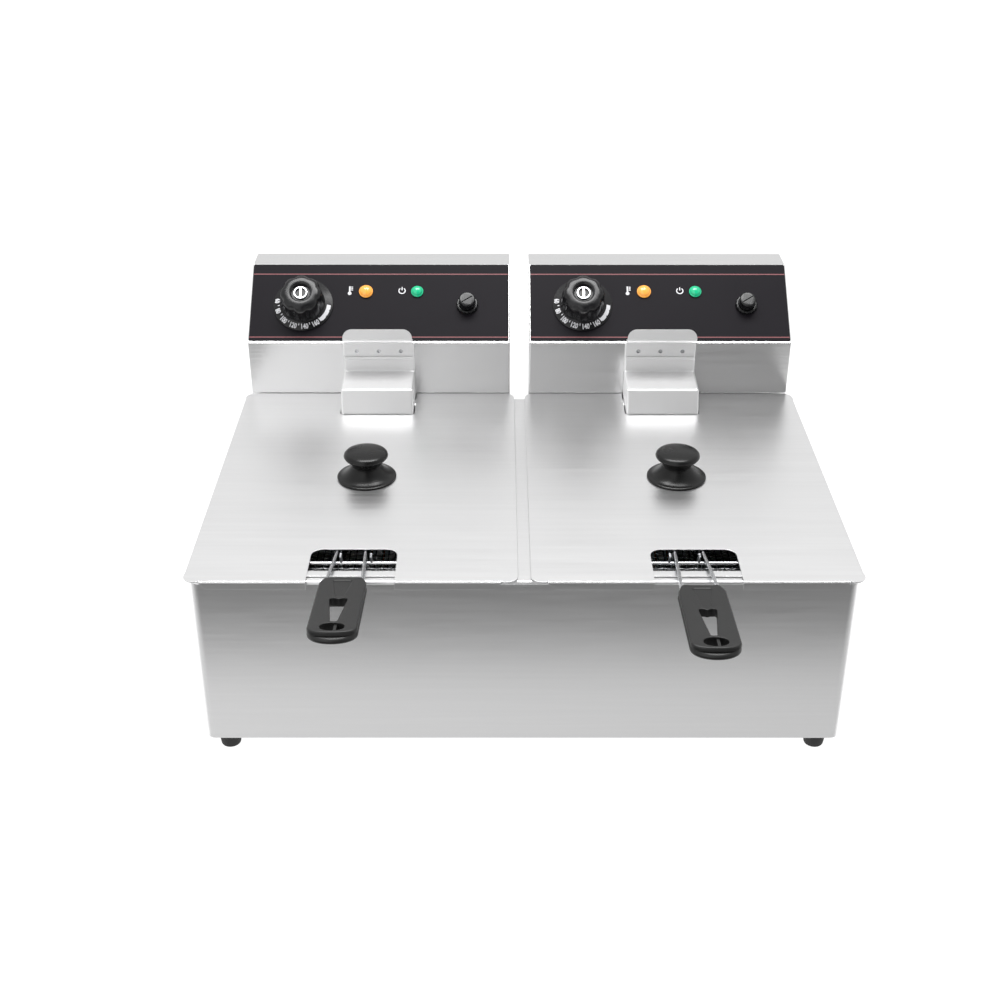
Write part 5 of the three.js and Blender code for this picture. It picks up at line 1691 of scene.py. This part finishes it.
class FRYER_OT_lid_knobs(bpy.types.Operator):
    """Builds the lid knobs and their screws"""

    bl_idname = "fryer.lid_knobs"
    bl_label = "Lid knobs"

    def execute(self, context):
        for side in SIDES:
            add_to(side, "turned_knob", knob_shape(), "knob_plastic", "lid", "knob_plastic", "lid_knob")
            add_to(side, "knob_screw", knob_screw_shape(), "chrome_wire", "lid", "chrome_wire",
                   "lid_knob_screw")
        return {"FINISHED"}


class FRYER_OT_baskets(bpy.types.Operator):
    """Weaves the two wire baskets"""

    bl_idname = "fryer.baskets"
    bl_label = "Baskets"

    def execute(self, context):
        for side, outward in SIDES.items():
            add_to(side, "basket_mesh", basket_mesh_shape(), "chrome_wire", "basket", "chrome_wire",
                   "basket", crease=100)
            add_to(side, "basket_rim", basket_rim_shape(side, outward), "chrome_wire", "basket",
                   "chrome_wire")
        return {"FINISHED"}


class FRYER_OT_basket_handles(bpy.types.Operator):
    """Builds the basket handles: rods and grips"""

    bl_idname = "fryer.basket_handles"
    bl_label = "Basket handles"

    def execute(self, context):
        for side in SIDES:
            add_to(side, "handle_rods", rods_shape(side), "chrome_wire", "basket", "chrome_wire",
                   "basket_rods")
            add_to(side, "moulded_grip", grip_shape(side), "grip_plastic", "basket", "grip_plastic",
                   "basket_grip", crease=50)
        return {"FINISHED"}


class FRYER_OT_heads(bpy.types.Operator):
    """Builds the heads' shells, back covers, shrouds, hangers and glands"""

    bl_idname = "fryer.heads"
    bl_label = "Heads"

    def execute(self, context):
        for side in SIDES:
            add_to(side, "head_cover", head_shape(), "head_steel", "head", "stainless", "head_shell",
                   sheet=SHEET)
            add_to(side, "back_cover", back_cover_shape(), "head_steel", "head", "stainless",
                   "head_back_cover", sheet=SHEET)
            add_to(side, "shroud_cover", shroud_shape(), "satin_steel", "head", "stainless",
                   "element_shroud", sheet=SHEET)
            add_to(side, "hanger_plate", hanger_shape(), "satin_steel", "head", "stainless",
                   "basket_hanger", sheet=STRIP, centred=True)
            add_to(side, "weld_marks", weld_marks_shape(), "chrome_wire", "head", "stainless")
            add_to(side, "gland", gland_shape(), "control_plastic", "head", "control_plastic", "cord_gland",
                   crease=30)
        return {"FINISHED"}


class FRYER_OT_elements(bpy.types.Operator):
    """Builds the heating elements"""

    bl_idname = "fryer.elements"
    bl_label = "Heating elements"

    def execute(self, context):
        for side in SIDES:
            add_to(side, "element_tube", element_shape(), "element_tube", "head", "element_tube",
                   "heating_element")
        return {"FINISHED"}


class FRYER_OT_panels(bpy.types.Operator):
    """Builds the panel films, their print and the lamps"""

    bl_idname = "fryer.panels"
    bl_label = "Panels and lamps"

    def execute(self, context):
        for side in SIDES:
            add_to(side, "film", film_shape(), "panel_film", "head", "panel_film", "panel_overlay")
            add_to(side, "border_lines", border_lines_shape(), "red_ink", "head", "panel_film")
            add_to(side, "signs", signs_shape(), "white_ink", "head", "panel_film")
            add_to(side, "amber_lamp", lamp_shape(*AMBER_LAMP), "amber_lens", "head", "amber_lens",
                   "heating_lamp")
            add_to(side, "green_lamp", lamp_shape(*GREEN_LAMP), "green_lens", "head", "green_lens",
                   "power_lamp")
        return {"FINISHED"}


class FRYER_OT_dials(bpy.types.Operator):
    """Builds the thermostat dials"""

    bl_idname = "fryer.dials"
    bl_label = "Dials"

    def execute(self, context):
        for side in SIDES:
            add_to(side, "dial_knob", dial_shape(), "control_plastic", "dial", "control_plastic",
                   "thermostat_dial")
            add_to(side, "dial_emblem", emblem_shape(), "chrome_wire", "dial", "chrome_wire")
            add_to(side, "dial_print", dial_print_shape(), "white_ink", "dial", "control_plastic")
        return {"FINISHED"}


class FRYER_OT_resets(bpy.types.Operator):
    """Builds the reset buttons and their nuts"""

    bl_idname = "fryer.resets"
    bl_label = "Reset buttons"

    def execute(self, context):
        for side in SIDES:
            add_to(side, "reset_collar", reset_nut_shape(), "control_plastic", "head", "control_plastic",
                   "reset_nut")
            add_to(side, "reset_cap", reset_button_shape(), "control_plastic", "reset", "control_plastic",
                   "reset_button")
        return {"FINISHED"}


INNER_FINISHES = {
    "head_bracket": "brushed_steel", "head_hook": "brushed_steel", "thermostat": "ceramic",
    "limiter": "ceramic", "terminal_block": "ceramic", "microswitch": "control_plastic",
    "sensor_bulbs": "copper",
}


class FRYER_OT_inner_parts(bpy.types.Operator):
    """Finishes the frame's own nodes that stay as they are"""

    bl_idname = "fryer.inner_parts"
    bl_label = "Inner parts"

    def execute(self, context):
        for side in SIDES:
            for node, finish in INNER_FINISHES.items():
                give_finish(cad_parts[f"{node}_{side}"], finish)
        return {"FINISHED"}


class FRYER_PT_sidebar(bpy.types.Panel):
    """Lists the fryer's operators and settings"""

    bl_idname = "FRYER_PT_sidebar"
    bl_label = "Deep fryer"
    bl_space_type = "VIEW_3D"
    bl_region_type = "UI"
    bl_category = "Fryer"

    def draw(self, context):
        for operator in OPERATORS:
            self.layout.operator(operator.bl_idname)
        for key, group in SETTINGS.items():
            box = self.layout.box()
            for name in group.__annotations__:
                box.prop(getattr(context.scene, key), name)


SETTINGS = {
    "fryer_sheet": FryerSheetSettings, "fryer_wire": FryerWireSettings,
    "fryer_plastic": FryerPlasticSettings, "fryer_panel": FryerPanelSettings,
    "fryer_studio": FryerStudioSettings,
}
OPERATORS = [
    FRYER_OT_stage, FRYER_OT_casing, FRYER_OT_feet, FRYER_OT_tanks, FRYER_OT_lids, FRYER_OT_lid_knobs,
    FRYER_OT_baskets, FRYER_OT_basket_handles, FRYER_OT_heads, FRYER_OT_elements, FRYER_OT_panels,
    FRYER_OT_dials, FRYER_OT_resets, FRYER_OT_inner_parts,
]


def register():
    """Adds the settings, the operators and the sidebar."""
    for key, group in SETTINGS.items():
        bpy.utils.register_class(group)
        setattr(bpy.types.Scene, key, PointerProperty(type=group))
    for cls in (*OPERATORS, FRYER_PT_sidebar):
        bpy.utils.register_class(cls)


def unregister():
    """Removes them again."""
    for cls in (FRYER_PT_sidebar, *reversed(OPERATORS)):
        bpy.utils.unregister_class(cls)
    for key, group in SETTINGS.items():
        delattr(bpy.types.Scene, key)
        bpy.utils.unregister_class(group)


def main():
    register()
    for operator in OPERATORS:
        group, name = operator.bl_idname.split(".")
        getattr(getattr(bpy.ops, group), name)()


if __name__ == "__main__":
    main()
